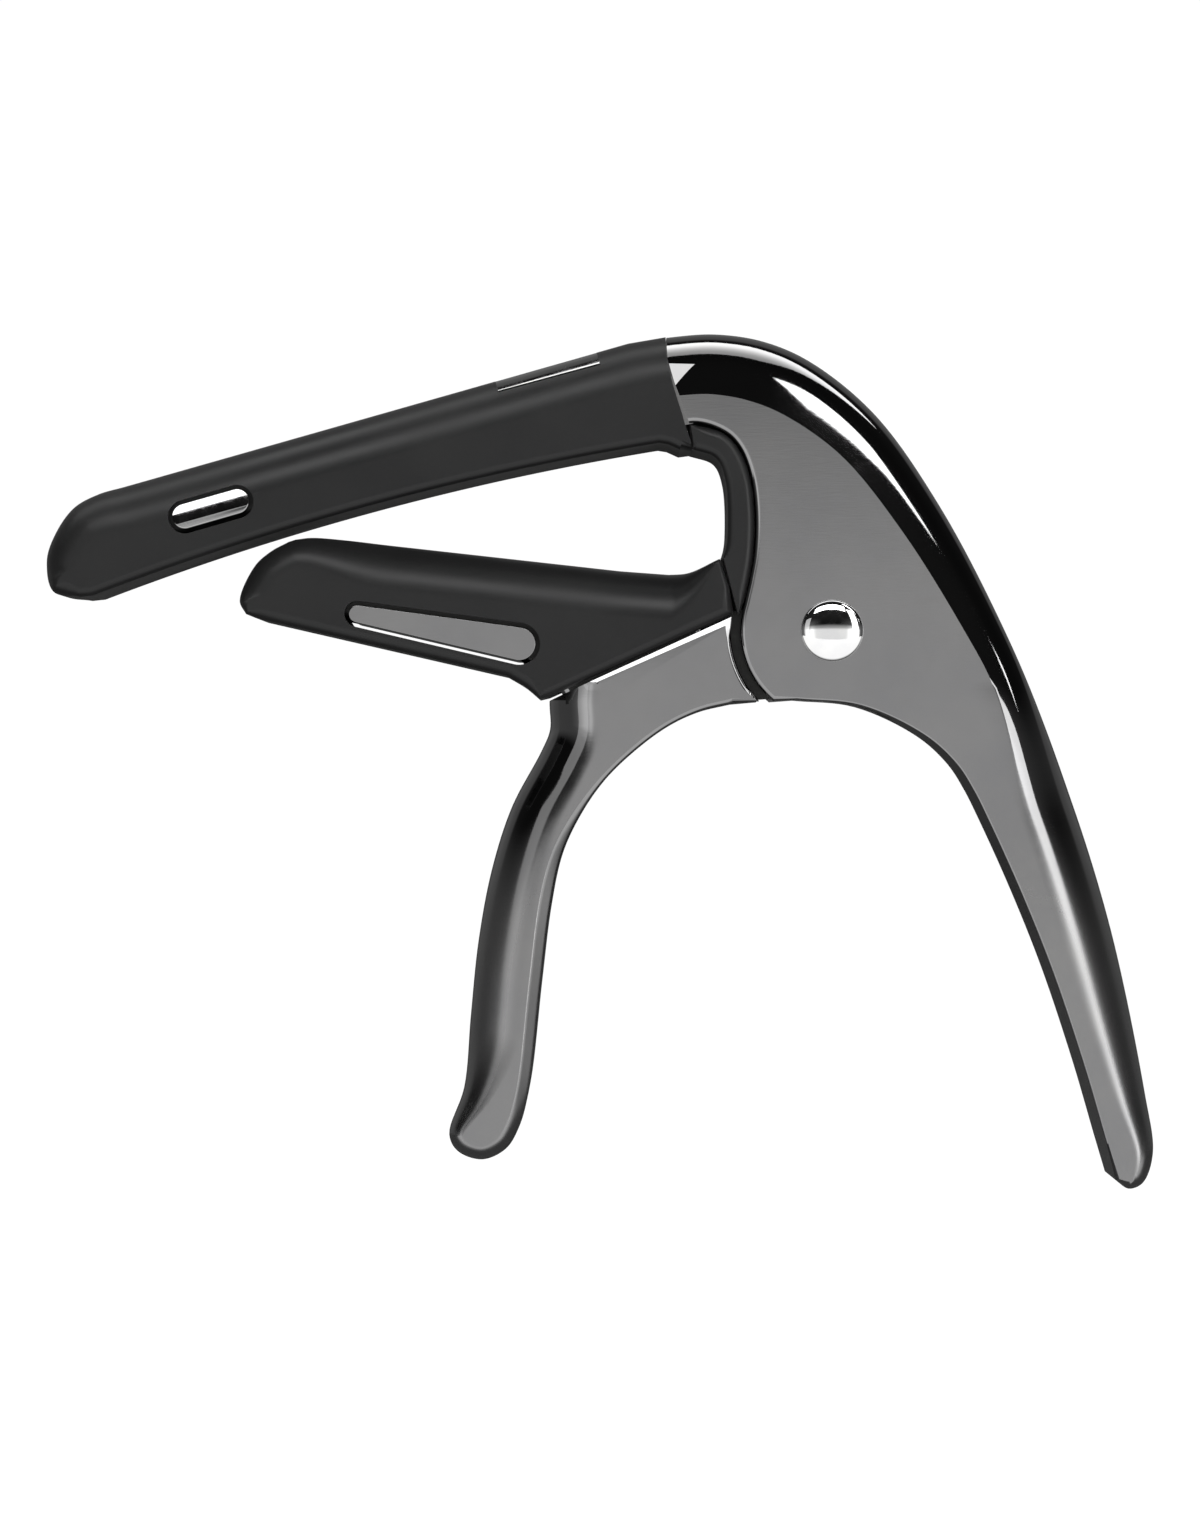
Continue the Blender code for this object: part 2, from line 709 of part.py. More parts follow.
def make_throat_pad():
    """The strip that protects the edge of the fingerboard at the bottom of the jaws."""
    inner = catmull_rom(
        [(-9.75, 6.4), (-9.4, 7.5), (-9.25, 9.0), (-9.47, 13.45), (-10.27, 15.31), (-12.05, 16.15)], 2
    )
    outer = catmull_rom(
        [
            (-12.35, 18.1),
            (-9.75, 17.25),
            (-8.4, 15.85),
            (-7.5, 13.6),
            (-7.1, 10.5),
            (-7.2, 6.9),
            (-7.75, 4.2),
            (-8.5, 2.5),
        ],
        2,
    )
    outline = inner + outer
    broad, fine = [[(inset, PAD_HALF), (0.0, PAD_HALF - inset), (0.0, 0.0)] for inset in (0.6, 0.25)]
    profiles = [broad] * len(outline)
    for index in (len(inner) - 1, len(inner), len(outline) - 1, 0):
        profiles[index] = fine
    return slab("throat_pad", outline, profiles)


# ---------------------------------------------------------------- pivot parts


def make_rivet():
    """A shank with a domed head on the near side and a tenon for the cap on the far side."""
    seat = CHEEK_HALF + RIVET_SEAT_GAP
    dome = [
        (RIVET_HEAD_RADIUS * math.sin(t), -seat - 0.25 - (RIVET_HEAD_RISE - 0.25) * math.cos(t))
        for t in [math.pi / 2 * i / 6 for i in range(7)]
    ]
    dome[0] = (0, dome[0][1])
    shank = [(RIVET_HEAD_RADIUS, -seat), (SHANK_RADIUS, -seat), (SHANK_RADIUS, CHEEK_HALF)]
    tenon = [(TENON_RADIUS, CHEEK_HALF), (TENON_RADIUS, seat + 0.5), (0, seat + 0.5)]
    return turned("pivot_rivet", dome + shank + tenon)


def make_rivet_cap():
    seat = CHEEK_HALF + RIVET_SEAT_GAP
    dome = [
        (RIVET_HEAD_RADIUS * math.cos(t), seat + 0.25 + (RIVET_HEAD_RISE - 0.25) * math.sin(t))
        for t in [math.pi / 2 * i / 6 for i in range(7)]
    ]
    dome[-1] = (0, dome[-1][1])
    socket = [(0, seat + 0.65), (TENON_RADIUS + 0.1, seat + 0.65), (TENON_RADIUS + 0.1, seat)]
    return turned("rivet_cap", socket + [(RIVET_HEAD_RADIUS, seat)] + dome)


def make_bushing():
    bore = SHANK_RADIUS + BORE_CLEARANCE
    half = BUSHING_HALF
    section = [(bore, -half), (BUSHING_RADIUS, -half), (BUSHING_RADIUS, half), (bore, half)]
    return turned("spring_bushing", section)


def make_washer(name, side):
    bore = SHANK_RADIUS + BORE_CLEARANCE
    section = [
        (bore, side * WASHER_NEAR),
        (WASHER_RADIUS, side * WASHER_NEAR),
        (WASHER_RADIUS, side * WASHER_FAR),
        (bore, side * WASHER_FAR),
    ]
    return turned(name, section)


def spring_path():
    """The wire's middle line: the lever's leg, three turns and the frame's leg, in XYZ."""
    total = 2 * math.pi * COIL_TURNS + LEVER_LEG_ANGLE - FRAME_LEG_ANGLE
    count = round(COIL_STEPS_PER_TURN * total / (2 * math.pi))
    half = COIL_PITCH * total / (4 * math.pi)
    coil = []
    for i in range(count + 1):
        turn = LEVER_LEG_ANGLE - total * i / count
        y = half - 2 * half * i / count
        coil.append((COIL_RADIUS * math.cos(turn), y, COIL_RADIUS * math.sin(turn)))
    start, end = coil[0], coil[-1]
    back = (-math.sin(LEVER_LEG_ANGLE), math.cos(LEVER_LEG_ANGLE))
    lever_tip = (start[0] + back[0] * LEVER_LEG, start[1], start[2] + back[1] * LEVER_LEG)
    frame_tip = (end[0] + FRAME_LEG, end[1], end[2])
    return [lever_tip, *coil, frame_tip]


def make_spring():
    curve = bpy.data.curves.new("torsion_spring", "CURVE")
    curve.dimensions = "3D"
    curve.bevel_depth = WIRE_RADIUS * MM
    curve.bevel_resolution = 2
    curve.use_fill_caps = True
    points = spring_path()
    wire = curve.splines.new("POLY")
    wire.points.add(len(points) - 1)
    for point, (x, y, z) in zip(wire.points, points):
        point.co = (x * MM, y * MM, z * MM, 1)
    obj = bpy.data.objects.new("torsion_spring", curve)
    bpy.context.scene.collection.objects.link(obj)
    return obj


# ---------------------------------------------------------------- assembly


def material(name, colour, metallic, roughness):
    made = bpy.data.materials.new(name)
    made.use_nodes = True
    shader = made.node_tree.nodes["Principled BSDF"]
    shader.inputs["Base Color"].default_value = (*colour, 1)
    shader.inputs["Metallic"].default_value = metallic
    shader.inputs["Roughness"].default_value = roughness
    made.diffuse_color = (*colour, 1)
    return made


def axis_empty(name):
    """An empty on the pivot axis, which carries the pieces of one body."""
    empty = bpy.data.objects.new(name, None)
    empty.location = (PIVOT_FROM_PAD[0] * MM, 0, PIVOT_FROM_PAD[1] * MM)
    bpy.context.scene.collection.objects.link(empty)
    return empty


def finish(obj, parent, look):
    obj.parent = parent
    obj.data.materials.append(look)


def build():
    for obj in list(bpy.data.objects):
        bpy.data.objects.remove(obj)
    frame_axis = axis_empty("frame_axis")
    lever_axis = axis_empty("lever_axis")
    nickel = material("black_nickel", (0.19, 0.19, 0.20), 1.0, 0.22)
    chrome = material("chrome", (0.62, 0.62, 0.63), 1.0, 0.08)
    silicone = material("black_silicone", (0.022, 0.022, 0.023), 0.0, 0.55)
    steel = material("spring_steel", (0.35, 0.35, 0.36), 1.0, 0.3)
    nylon = material("nylon", (0.75, 0.74, 0.70), 0.0, 0.45)
    finish(make_frame(frame_axis), frame_axis, nickel)
    finish(make_lever(lever_axis), lever_axis, nickel)
    finish(make_upper_sleeve(frame_axis), frame_axis, silicone)
    finish(make_lower_sleeve(lever_axis), lever_axis, silicone)
    finish(make_throat_pad(), frame_axis, silicone)
    finish(make_rivet(), frame_axis, chrome)
    finish(make_rivet_cap(), frame_axis, chrome)
    finish(make_bushing(), frame_axis, nylon)
    finish(make_washer("front_washer", -1), frame_axis, nylon)
    finish(make_washer("rear_washer", 1), frame_axis, nylon)
    finish(make_spring(), frame_axis, steel)


build()
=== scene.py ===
"""Guitar capo: the looks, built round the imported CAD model.

Outlines lie in the XZ plane and are written in millimetres from the pivot, as the CAD's are. The pivot's
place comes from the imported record's joint. +Y is the thickness and the camera looks along +Y.
"""

import json
import math

import bmesh
import bpy
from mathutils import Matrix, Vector

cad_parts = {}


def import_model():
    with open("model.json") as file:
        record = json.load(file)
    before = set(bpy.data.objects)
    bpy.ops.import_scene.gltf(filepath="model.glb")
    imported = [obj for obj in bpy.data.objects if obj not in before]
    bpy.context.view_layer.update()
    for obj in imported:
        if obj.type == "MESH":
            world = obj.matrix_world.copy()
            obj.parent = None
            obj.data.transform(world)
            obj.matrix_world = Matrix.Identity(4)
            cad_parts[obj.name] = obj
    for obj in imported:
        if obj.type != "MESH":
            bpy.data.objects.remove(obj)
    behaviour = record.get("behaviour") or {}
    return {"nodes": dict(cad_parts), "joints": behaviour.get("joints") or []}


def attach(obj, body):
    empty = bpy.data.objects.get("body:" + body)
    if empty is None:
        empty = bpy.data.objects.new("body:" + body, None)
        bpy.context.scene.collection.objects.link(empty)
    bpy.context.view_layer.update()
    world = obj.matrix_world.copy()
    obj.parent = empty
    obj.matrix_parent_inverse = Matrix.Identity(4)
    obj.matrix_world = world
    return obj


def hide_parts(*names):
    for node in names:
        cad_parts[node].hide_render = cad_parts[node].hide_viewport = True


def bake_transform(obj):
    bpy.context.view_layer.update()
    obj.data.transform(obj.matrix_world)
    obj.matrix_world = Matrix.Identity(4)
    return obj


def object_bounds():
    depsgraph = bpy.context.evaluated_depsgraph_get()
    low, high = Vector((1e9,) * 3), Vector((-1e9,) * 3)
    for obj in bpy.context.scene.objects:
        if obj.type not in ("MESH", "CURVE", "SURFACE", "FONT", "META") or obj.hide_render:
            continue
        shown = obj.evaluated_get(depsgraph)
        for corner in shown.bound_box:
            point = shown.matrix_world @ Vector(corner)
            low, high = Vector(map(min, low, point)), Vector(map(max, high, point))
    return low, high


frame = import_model()
cad_low, cad_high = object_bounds()

MM = 0.001
PIVOT = Vector(frame["joints"][0]["pos_m"])
PIVOT_MM = (PIVOT.x / MM, PIVOT.z / MM)

# String pad
STRING_PAD_RADIUS = 256.0
STRING_PAD_HALF = 26.0
STRING_PAD_TILT = math.radians(15.08)
STRING_PAD_STEPS = 52

# Half thicknesses
CHEEK_HALF = 6.5
CHEEK_INNER = 4.9
SLEEVE_HALF = 6.9
CORE_HALF = 5.3
PAD_HALF = 6.4
BOSS_HALF = 6.75
EAR_OUTER = 4.15
EAR_INNER = 2.75

# Pivot
SHANK_RADIUS = 2.0
BORE_CLEARANCE = 0.12
BORE_REACH = 9.0
RIVET_HEAD_RADIUS = 2.75
RIVET_HEAD_RISE = 1.1
RIVET_SEAT_GAP = 0.15
RIVET_RIM = 0.3
STEM_RADIUS = 1.2
STEM_LENGTH = 0.5
SOCKET_RADIUS = 1.3
SOCKET_DEPTH = 0.65
HUB_RADIUS = 8.1
SHOULDER_RADIUS = 8.95
EAR_RADIUS = 5.8
POCKET_RADIUS = 7.4

# Spring
WIRE_RADIUS = 0.55
COIL_RADIUS = 3.6
COIL_PITCH = 1.13
COIL_TURNS = 3
COIL_STEPS = 160
LEVER_LEG_STEPS = 12
FRAME_LEG_STEPS = 10
LEVER_LEG_ANGLE = math.radians(115)
FRAME_LEG_ANGLE = math.radians(90)
LEVER_LEG = 11.0
FRAME_LEG = 8.6
FRAME_SLOT_Y = (-2.6, 0.2)
LEVER_SLOT_Y = (0.9, 2.7)

# Fits
FIT_GAP = 0.25
WINDOW_GAP = 0.4
RIM_FLARE = 0.05

# The window in the sleeve's top and the land that fills it
CROWN_PLACE = 18.05
CROWN_LENGTH = 9.4
CROWN_CORNER = 3.0
CROWN_GAP = 0.15
CROWN_FLOOR = 6.93
CROWN_TOP = 9.5
CROWN_PRESS = 0.02
CROWN_HALF_WIDTH = SLEEVE_HALF + 1.6

# Castings and sleeves: half widths, ends and edge roundings
COLLAR_HALF = 2.6
COLLAR_FOOT_HALF = 5.3
ARM_END = 28.5
CAVITY_END = 34.0
ARM_ROUND = 1.0
BAR_ROUND = 0.9
SLEEVE_LOW_ROUND = 0.8
JAW_LOW_ROUND = 1.0
JAW_END_ROUND = 0.5
PAD_ROUND = 0.75
EDGE_ROUND = 0.45
INNER_ROUND = 0.2
GRIP_BEVEL = 1.15
SLEEVE_TOP_ROUND = 4.2
SLEEVE_NOSE_ROUND = 3.0
JAW_TOP_ROUND = 4.2
JAW_TIP_ROUND = 2.4

# The polished slope along the spine, and the small flat that ends it at the sleeve
SLOPE_START = math.radians(28)
SLOPE_POWER = 3.0
SLOPE_SHARES = [1.0, 0.92, 0.84, 0.76, 0.68, 0.6, 0.53, 0.476, 0.462, 0.41, 0.35, 0.29, 0.235, 0.185, 0.14]
SLOPE_SHARES += [0.1, 0.07, 0.045, 0.027, 0.014, 0.005, 0.0]
SLOPE_STARTS = (-14.2, 26.38)
FACET_CORNER = (-14.45, 23.72)
FACET_Y = 5.8
FACET_FALL = (0.362, 0.201)

# The oval boss: its crown runs along the arm, with the crest below its middle
OVAL_MIDDLE = 3.34
OVAL_CREST = 2.45
OVAL_CREST_Y = 7.0
OVAL_CROWN = 4.9
OVAL_SPAN = 2.0
OVAL_ENDS = (-18.5, -8.5)
OVAL_PLACE = -13.6
OVAL_LEAN = 0.01

# The lever's seam with its sleeve, and its grip
SEAM_BEVEL = (0.55, 0.21)
SEAM_LINE = ((-28.3, -7.65), (-6.13, 2.5))
SEAM_FADE_FROM = 2.2
SEAM_FADE_LIFT = 0.35
GRIP_ROUND = (4.6, 5.0)
GRIP_TIP_ROUND = (1.3, 2.6)
HANDLE_STARTS = (44, 60)
HANDLE_EXTRA_DEPTH = 0.8

# Modelling
SHARP_ANGLE = math.radians(24)
PROFILE_POINTS = 24
ROUND_SEGMENTS = 96
THROUGH = (-8.0, 8.0)
MITRE_LIMIT = 0.6
CROWD_ROWS = 60
CROWD_SHARE = 0.9
CROWD_RATE = 0.5
SAME_DIRECTION = 1e-9
WELD = 1e-7


# ---------------------------------------------------------------- curves


def catmull_rom(points, steps):
    """A smooth curve through the points, with this many steps between two of them."""
    first = (2 * points[0][0] - points[1][0], 2 * points[0][1] - points[1][1])
    last = (2 * points[-1][0] - points[-2][0], 2 * points[-1][1] - points[-2][1])
    knots = [first, *points, last]
    found = []
    for i in range(1, len(knots) - 2):
        a, b, c, d = knots[i - 1 : i + 3]
        t0, t1, t2, t3 = knot_times(a, b, c, d)
        for step in range(steps):
            t = t1 + (t2 - t1) * step / steps
            ab, bc, cd = mix(a, b, t0, t1, t), mix(b, c, t1, t2, t), mix(c, d, t2, t3, t)
            abc, bcd = mix(ab, bc, t0, t2, t), mix(bc, cd, t1, t3, t)
            found.append(mix(abc, bcd, t1, t2, t))
    found.append(points[-1])
    return found


def knot_times(a, b, c, d):
    times = [0.0]
    for first, second in ((a, b), (b, c), (c, d)):
        times.append(times[-1] + math.sqrt(math.dist(first, second)))
    return times


def mix(a, b, ta, tb, t):
    w = (t - ta) / (tb - ta)
    return (a[0] + w * (b[0] - a[0]), a[1] + w * (b[1] - a[1]))


def arc(radius, start_deg, end_deg, steps, centre=(0.0, 0.0)):
    turns = [math.radians(start_deg + (end_deg - start_deg) * i / steps) for i in range(steps + 1)]
    return [(centre[0] + radius * math.cos(t), centre[1] + radius * math.sin(t)) for t in turns]


def from_pad(along, above):
    """A point given along the string pad and above it, measured from its middle."""
    c, s = math.cos(STRING_PAD_TILT), math.sin(STRING_PAD_TILT)
    return (along * c - above * s - PIVOT_MM[0], along * s + above * c - PIVOT_MM[1])


def string_pad_arc():
    half = STRING_PAD_HALF / STRING_PAD_RADIUS
    turns = [half * (2 * i / STRING_PAD_STEPS - 1) for i in range(STRING_PAD_STEPS + 1)]
    return [
        from_pad(STRING_PAD_RADIUS * math.sin(t), STRING_PAD_RADIUS * (math.cos(t) - 1)) for t in turns
    ]


def straight(a, b, steps):
    """Points from a up to but not including b."""
    return [(a[0] + (b[0] - a[0]) * i / steps, a[1] + (b[1] - a[1]) * i / steps) for i in range(steps)]


def ramp(value, low, high):
    t = min(1.0, max(0.0, (value - low) / (high - low)))
    return t * t * (3 - 2 * t)


def table(value, pairs):
    """A smooth curve of size against place through the (place, size) pairs."""
    slopes = [(b[1] - a[1]) / (b[0] - a[0]) for a, b in zip(pairs, pairs[1:])]
    tangents = [slopes[0], *((p + q) / 2 for p, q in zip(slopes, slopes[1:])), slopes[-1]]
    value = min(max(value, pairs[0][0]), pairs[-1][0])
    index = next(i for i in range(len(slopes)) if value <= pairs[i + 1][0])
    (a, size_a), (b, size_b) = pairs[index : index + 2]
    span = b - a
    t = (value - a) / span
    from_a = (1 + 2 * t) * (1 - t) ** 2 * size_a + t * (1 - t) ** 2 * span * tangents[index]
    from_b = t * t * (3 - 2 * t) * size_b + t * t * (t - 1) * span * tangents[index + 1]
    return from_a + from_b


# ---------------------------------------------------------------- edge profiles
# A profile is a list of (inset from the outline, distance from the middle plane), from the side face inwards.


def resampled(corners, count):
    """This many points spread evenly along a line of points."""
    places = run_lengths(corners)
    found = []
    for i in range(count):
        place = places[-1] * i / (count - 1)
        k = max(j for j in range(len(places)) if places[j] <= place + 1e-9)
        k = min(k, len(corners) - 2)
        w = (place - places[k]) / max(1e-9, places[k + 1] - places[k])
        a, b = corners[k], corners[k + 1]
        found.append((a[0] + (b[0] - a[0]) * w, a[1] + (b[1] - a[1]) * w))
    return found


def round_edge(half, radius, depth=None):
    depth = radius if depth is None else depth
    steps = PROFILE_POINTS - 3
    turns = [math.pi / 2 * i / steps for i in range(steps + 1)]
    quarter = [(radius * (1 - math.sin(t)), half - depth * (1 - math.cos(t))) for t in turns]
    return quarter + [(0.0, (half - depth) * 0.5), (0.0, 0.0)]


def square_edge(half):
    return [(0.0, half * (1 - i / (PROFILE_POINTS - 1))) for i in range(PROFILE_POINTS)]


def chamfer_edge(half, inset, drop):
    """A straight bevel with both of its corners slightly eased."""
    corners = [
        (inset, half),
        (inset * 0.86, half - drop * 0.07),
        (inset * 0.14, half - drop * 0.8),
        (0.0, half - drop),
        (0.0, (half - drop) * 0.8),
    ]
    return resampled(corners, PROFILE_POINTS - 1) + [(0.0, 0.0)]


def blend_profiles(a, b, share):
    return [(p + (r - p) * share, q + (s - q) * share) for (p, q), (r, s) in zip(a, b)]


def slope_drops():
    """How far the polished slope has dropped at each share of its inset. It leaves the crease at SLOPE_START
    and turns ever faster until it is square to the cheek at the outline."""
    steps = 400
    places = [(0.0, 0.0)]
    for i in range(steps):
        turn = SLOPE_START + (math.pi / 2 - SLOPE_START) * ((i + 0.5) / steps) ** SLOPE_POWER
        along, down = places[-1]
        places.append((along + math.cos(turn), down + math.sin(turn)))
    total = places[-1][0]
    drops = []
    for share in SLOPE_SHARES:
        wanted = total * (1 - share)
        k = next(j for j in range(1, steps + 1) if places[j][0] >= wanted - 1e-9 or j == steps)
        w = (wanted - places[k - 1][0]) / (places[k][0] - places[k - 1][0])
        drops.append((places[k - 1][1] + w * (places[k][1] - places[k - 1][1])) / total)
    return drops


def spine_edge(place, length):
    """The casting's outer edge at this distance from the sleeve: a crease above a polished slope, then the
    wide round of the handle."""
    crease = table(
        place, [(0, 5.6), (10, 5.8), (25, 4.7), (40, 3.6), (52, 2.6), (62, 2.0), (80, 1.5), (length, 0.7)]
    )
    flat = table(
        place,
        [(0, 7.2), (10, 7.4), (25, 6.4), (40, 5.4), (52, 4.9), (64, 4.3), (80, 3.5), (length - 12, 2.6)]
        + [(length - 6, 1.5), (length, 1.0)],
    )
    slope = [(flat, CHEEK_HALF)]
    steps = zip(SLOPE_SHARES, SLOPE_DROPS)
    slope += [(crease * share, CHEEK_HALF - crease * drop) for share, drop in steps]
    slope.append((0.0, 0.0))
    wide = table(
        place, [(0, 5.2), (64, 5.2), (76, 4.7), (length - 12, 3.4), (length - 5, 1.8), (length, 0.8)]
    )
    handle = round_edge(CHEEK_HALF, wide, wide + HANDLE_EXTRA_DEPTH)
    return blend_profiles(slope, handle, ramp(place, *HANDLE_STARTS))


# ---------------------------------------------------------------- solids


def run_lengths(points):
    lengths = [0.0]
    for a, b in zip(points, points[1:]):
        lengths.append(lengths[-1] + math.dist(a, b))
    return lengths


def unit(a, b):
    size = math.dist(a, b)
    return ((b[0] - a[0]) / size, (b[1] - a[1]) / size)


def inward_directions(points):
    found = []
    for i, here in enumerate(points):
        before, after = points[i - 1], points[(i + 1) % len(points)]
        first, second = unit(before, here), unit(here, after)
        n = (first[1] + second[1], -first[0] - second[0])
        size = math.hypot(*n)
        n = (n[0] / size, n[1] / size)
        mitre = max(MITRE_LIMIT, n[0] * first[1] - n[1] * first[0])
        found.append((n[0] / mitre, n[1] / mitre))
    return found


def crowding(outline, inward, profiles):
    """The share of its profile's inset that each row may use before it would cross a neighbouring row."""
    reach = [max(inset for inset, y in profile) for profile in profiles]
    share = [1.0] * len(outline)
    for i, (x, z) in enumerate(outline):
        for k in range(1, CROWD_ROWS):
            j = (i + k) % len(outline)
            (ax, az), (bx, bz) = inward[i], inward[j]
            cross = ax * bz - az * bx
            if abs(cross) < SAME_DIRECTION:
                continue
            dx, dz = outline[j][0] - x, outline[j][1] - z
            ti, tj = (dx * bz - dz * bx) / cross, (dx * az - dz * ax) / cross
            if 0 < ti < reach[i] and 0 < tj < reach[j]:
                share[i] = min(share[i], CROWD_SHARE * ti / reach[i])
                share[j] = min(share[j], CROWD_SHARE * tj / reach[j])
    for order in (range(1, len(outline)), range(len(outline) - 2, -1, -1)):
        step = order.step
        for i in order:
            gap = math.dist(outline[i], outline[i - step])
            share[i] = min(share[i], share[i - step] + gap * CROWD_RATE)
    return share


def slab(name, outline, profiles, directions=None):
    """A solid with two flat side faces and one edge profile for each vertex of a clockwise outline."""
    inward = inward_directions(outline)
    for index, direction in (directions or {}).items():
        inward[index] = direction
    shares = crowding(outline, inward, profiles)
    profiles = [[(inset * share, y) for inset, y in profile] for profile, share in zip(profiles, shares)]
    bm = bmesh.new()
    rows = []
    for (x, z), (dx, dz), profile in zip(outline, inward, profiles):
        near = [(x + dx * inset, -y, z + dz * inset) for inset, y in profile]
        far = [(px, -py, pz) for px, py, pz in near[-2::-1]]
        rows.append([bm.verts.new([c * MM for c in p]) for p in near + far])
    for row, following in zip(rows, rows[1:] + rows[:1]):
        for j in range(len(row) - 1):
            bm.faces.new((row[j], row[j + 1], following[j + 1], following[j]))
    bm.faces.new([row[0] for row in rows])
    bm.faces.new([row[-1] for row in reversed(rows)])
    bmesh.ops.remove_doubles(bm, verts=bm.verts, dist=WELD)
    bmesh.ops.dissolve_degenerate(bm, edges=bm.edges, dist=WELD)
    bmesh.ops.recalc_face_normals(bm, faces=bm.faces)
    return object_from(name, bm)


def through_rings(name, rings):
    """A solid through rings of (x, y, z) points, joined in their order and closed at both ends."""
    bm = bmesh.new()
    rows = [[bm.verts.new([c * MM for c in point]) for point in ring] for ring in rings]
    for low, high in zip(rows, rows[1:]):
        for i in range(len(low)):
            j = (i + 1) % len(low)
            bm.faces.new((low[i], low[j], high[j], high[i]))
    bm.faces.new(rows[0][::-1])
    bm.faces.new(rows[-1])
    bmesh.ops.recalc_face_normals(bm, faces=bm.faces)
    return object_from(name, bm)


def layered(name, outline, layers):
    """A prism through (y, growth) layers, each the outline widened by its growth."""
    rings = []
    for y, growth in layers:
        ring = widened(outline, growth) if growth else outline
        rings.append([(x, y, z) for x, z in ring])
    return through_rings(name, rings)


def plate(name, outline, low, high):
    return layered(name, outline, [(low, 0.0), (high, 0.0)])


def turned(name, section):
    """A solid turned about the Y axis from (radius, y) points."""
    bm = bmesh.new()
    rings = []
    turns = [2 * math.pi * i / ROUND_SEGMENTS for i in range(ROUND_SEGMENTS)]
    for radius, y in section:
        if radius == 0:
            rings.append([bm.verts.new((0, y * MM, 0))] * ROUND_SEGMENTS)
        else:
            rings.append(
                [bm.verts.new((radius * math.cos(t) * MM, y * MM, radius * math.sin(t) * MM)) for t in turns]
            )
    closed = section[0][0] > 0
    pairs = list(zip(rings, rings[1:])) + ([(rings[-1], rings[0])] if closed else [])
    for low, high in pairs:
        for i in range(ROUND_SEGMENTS):
            j = (i + 1) % ROUND_SEGMENTS
            bm.faces.new(list(dict.fromkeys((low[i], low[j], high[j], high[i]))))
    bmesh.ops.recalc_face_normals(bm, faces=bm.faces)
    return object_from(name, bm)


def tube(name, path, radius, sides=16):
    """A round wire along a path, with flat ends."""
    points = [Vector(p) for p in path]
    turns = [2 * math.pi * k / sides for k in range(sides)]
    side = None
    rings = []
    for i, here in enumerate(points):
        before, after = points[max(0, i - 1)], points[min(len(points) - 1, i + 1)]
        along = (after - before).normalized()
        if side is None:
            side = along.orthogonal().normalized()
        side = (side - along * side.dot(along)).normalized()
        other = along.cross(side)
        rings.append([here + (side * math.cos(t) + other * math.sin(t)) * radius for t in turns])
    return through_rings(name, rings)


def object_from(name, bm):
    mesh = bpy.data.meshes.new(name)
    bm.to_mesh(mesh)
    bm.free()
    obj = bpy.data.objects.new(name, mesh)
    obj.location = PIVOT
    bpy.context.scene.collection.objects.link(obj)
    return obj


def combine(target, helper, operation):
    """A Boolean with a helper, made final straight away."""
    bpy.context.view_layer.update()
    modifier = target.modifiers.new("cut", "BOOLEAN")
    modifier.operation = operation
    modifier.object = helper
    modifier.solver = "EXACT"
    made_final(target)
    bpy.data.objects.remove(helper)
    return target


def made_final(obj):
    graph = bpy.context.evaluated_depsgraph_get()
    graph.update()
    mesh = bpy.data.meshes.new_from_object(obj.evaluated_get(graph))
    obj.modifiers.clear()
    obj.data = mesh


def hull_of_circles(a, radius_a, b, radius_b, steps=24):
    heading = math.degrees(math.atan2(b[1] - a[1], b[0] - a[0]))
    lean = math.degrees(math.asin((radius_b - radius_a) / math.dist(a, b)))
    left = arc(radius_a, heading + 270 - lean, heading + 90 + lean, steps, a)
    right = arc(radius_b, heading + 90 + lean, heading - 90 - lean, steps, b)
    return left + right


def widened(outline, gap):
    return [(x - dx * gap, z - dz * gap) for (x, z), (dx, dz) in zip(outline, inward_directions(outline))]


def window_layers(gap):
    """A window's cutter: straight through the wall, and flared in a quarter round at both outer faces."""
    edge = []
    steps = 6
    for i in range(steps + 1):
        t = math.pi / 2 * i / steps
        edge.append((SLEEVE_HALF - RIM_FLARE + RIM_FLARE * math.sin(t), gap + RIM_FLARE * (1 - math.cos(t))))
    edge.append((SLEEVE_HALF + 1.0, gap + RIM_FLARE * 1.4))
    return [(-y, growth) for y, growth in reversed(edge)] + edge


def dome_layers(half, rise, round_over):
    """A boss's layers: straight walls that round over into a low dome on both sides."""
    edge = [(half - rise, 0.0)]
    steps = 8
    for i in range(1, steps + 1):
        t = math.pi / 2 * i / steps
        edge.append((half - rise + rise * math.sin(t), -round_over * (1 - math.cos(t))))
    return [(-y, growth) for y, growth in reversed(edge)] + edge


# ---------------------------------------------------------------- outlines


CASTING_END = [(-14.62, 27.5), (-14.6, 25.7), (-14.56, 24.4), (-14.42, 23.7), (-14.2, 22.9), (-13.86, 21.8)]
CASTING_END += [(-13.42, 20.6), (-12.86, 19.1), (-12.6, 18.3), (-12.4, 17.2)]
SLEEVE_END = [(-14.71, 27.5), (-14.69, 25.7), (-14.65, 24.4), (-14.53, 23.7), (-14.36, 22.9), (-14.1, 21.8)]
SLEEVE_END += [(-13.73, 20.6), (-13.25, 19.1), (-12.95, 18.0), (-12.5, 16.8), (-12.3, 15.0)]


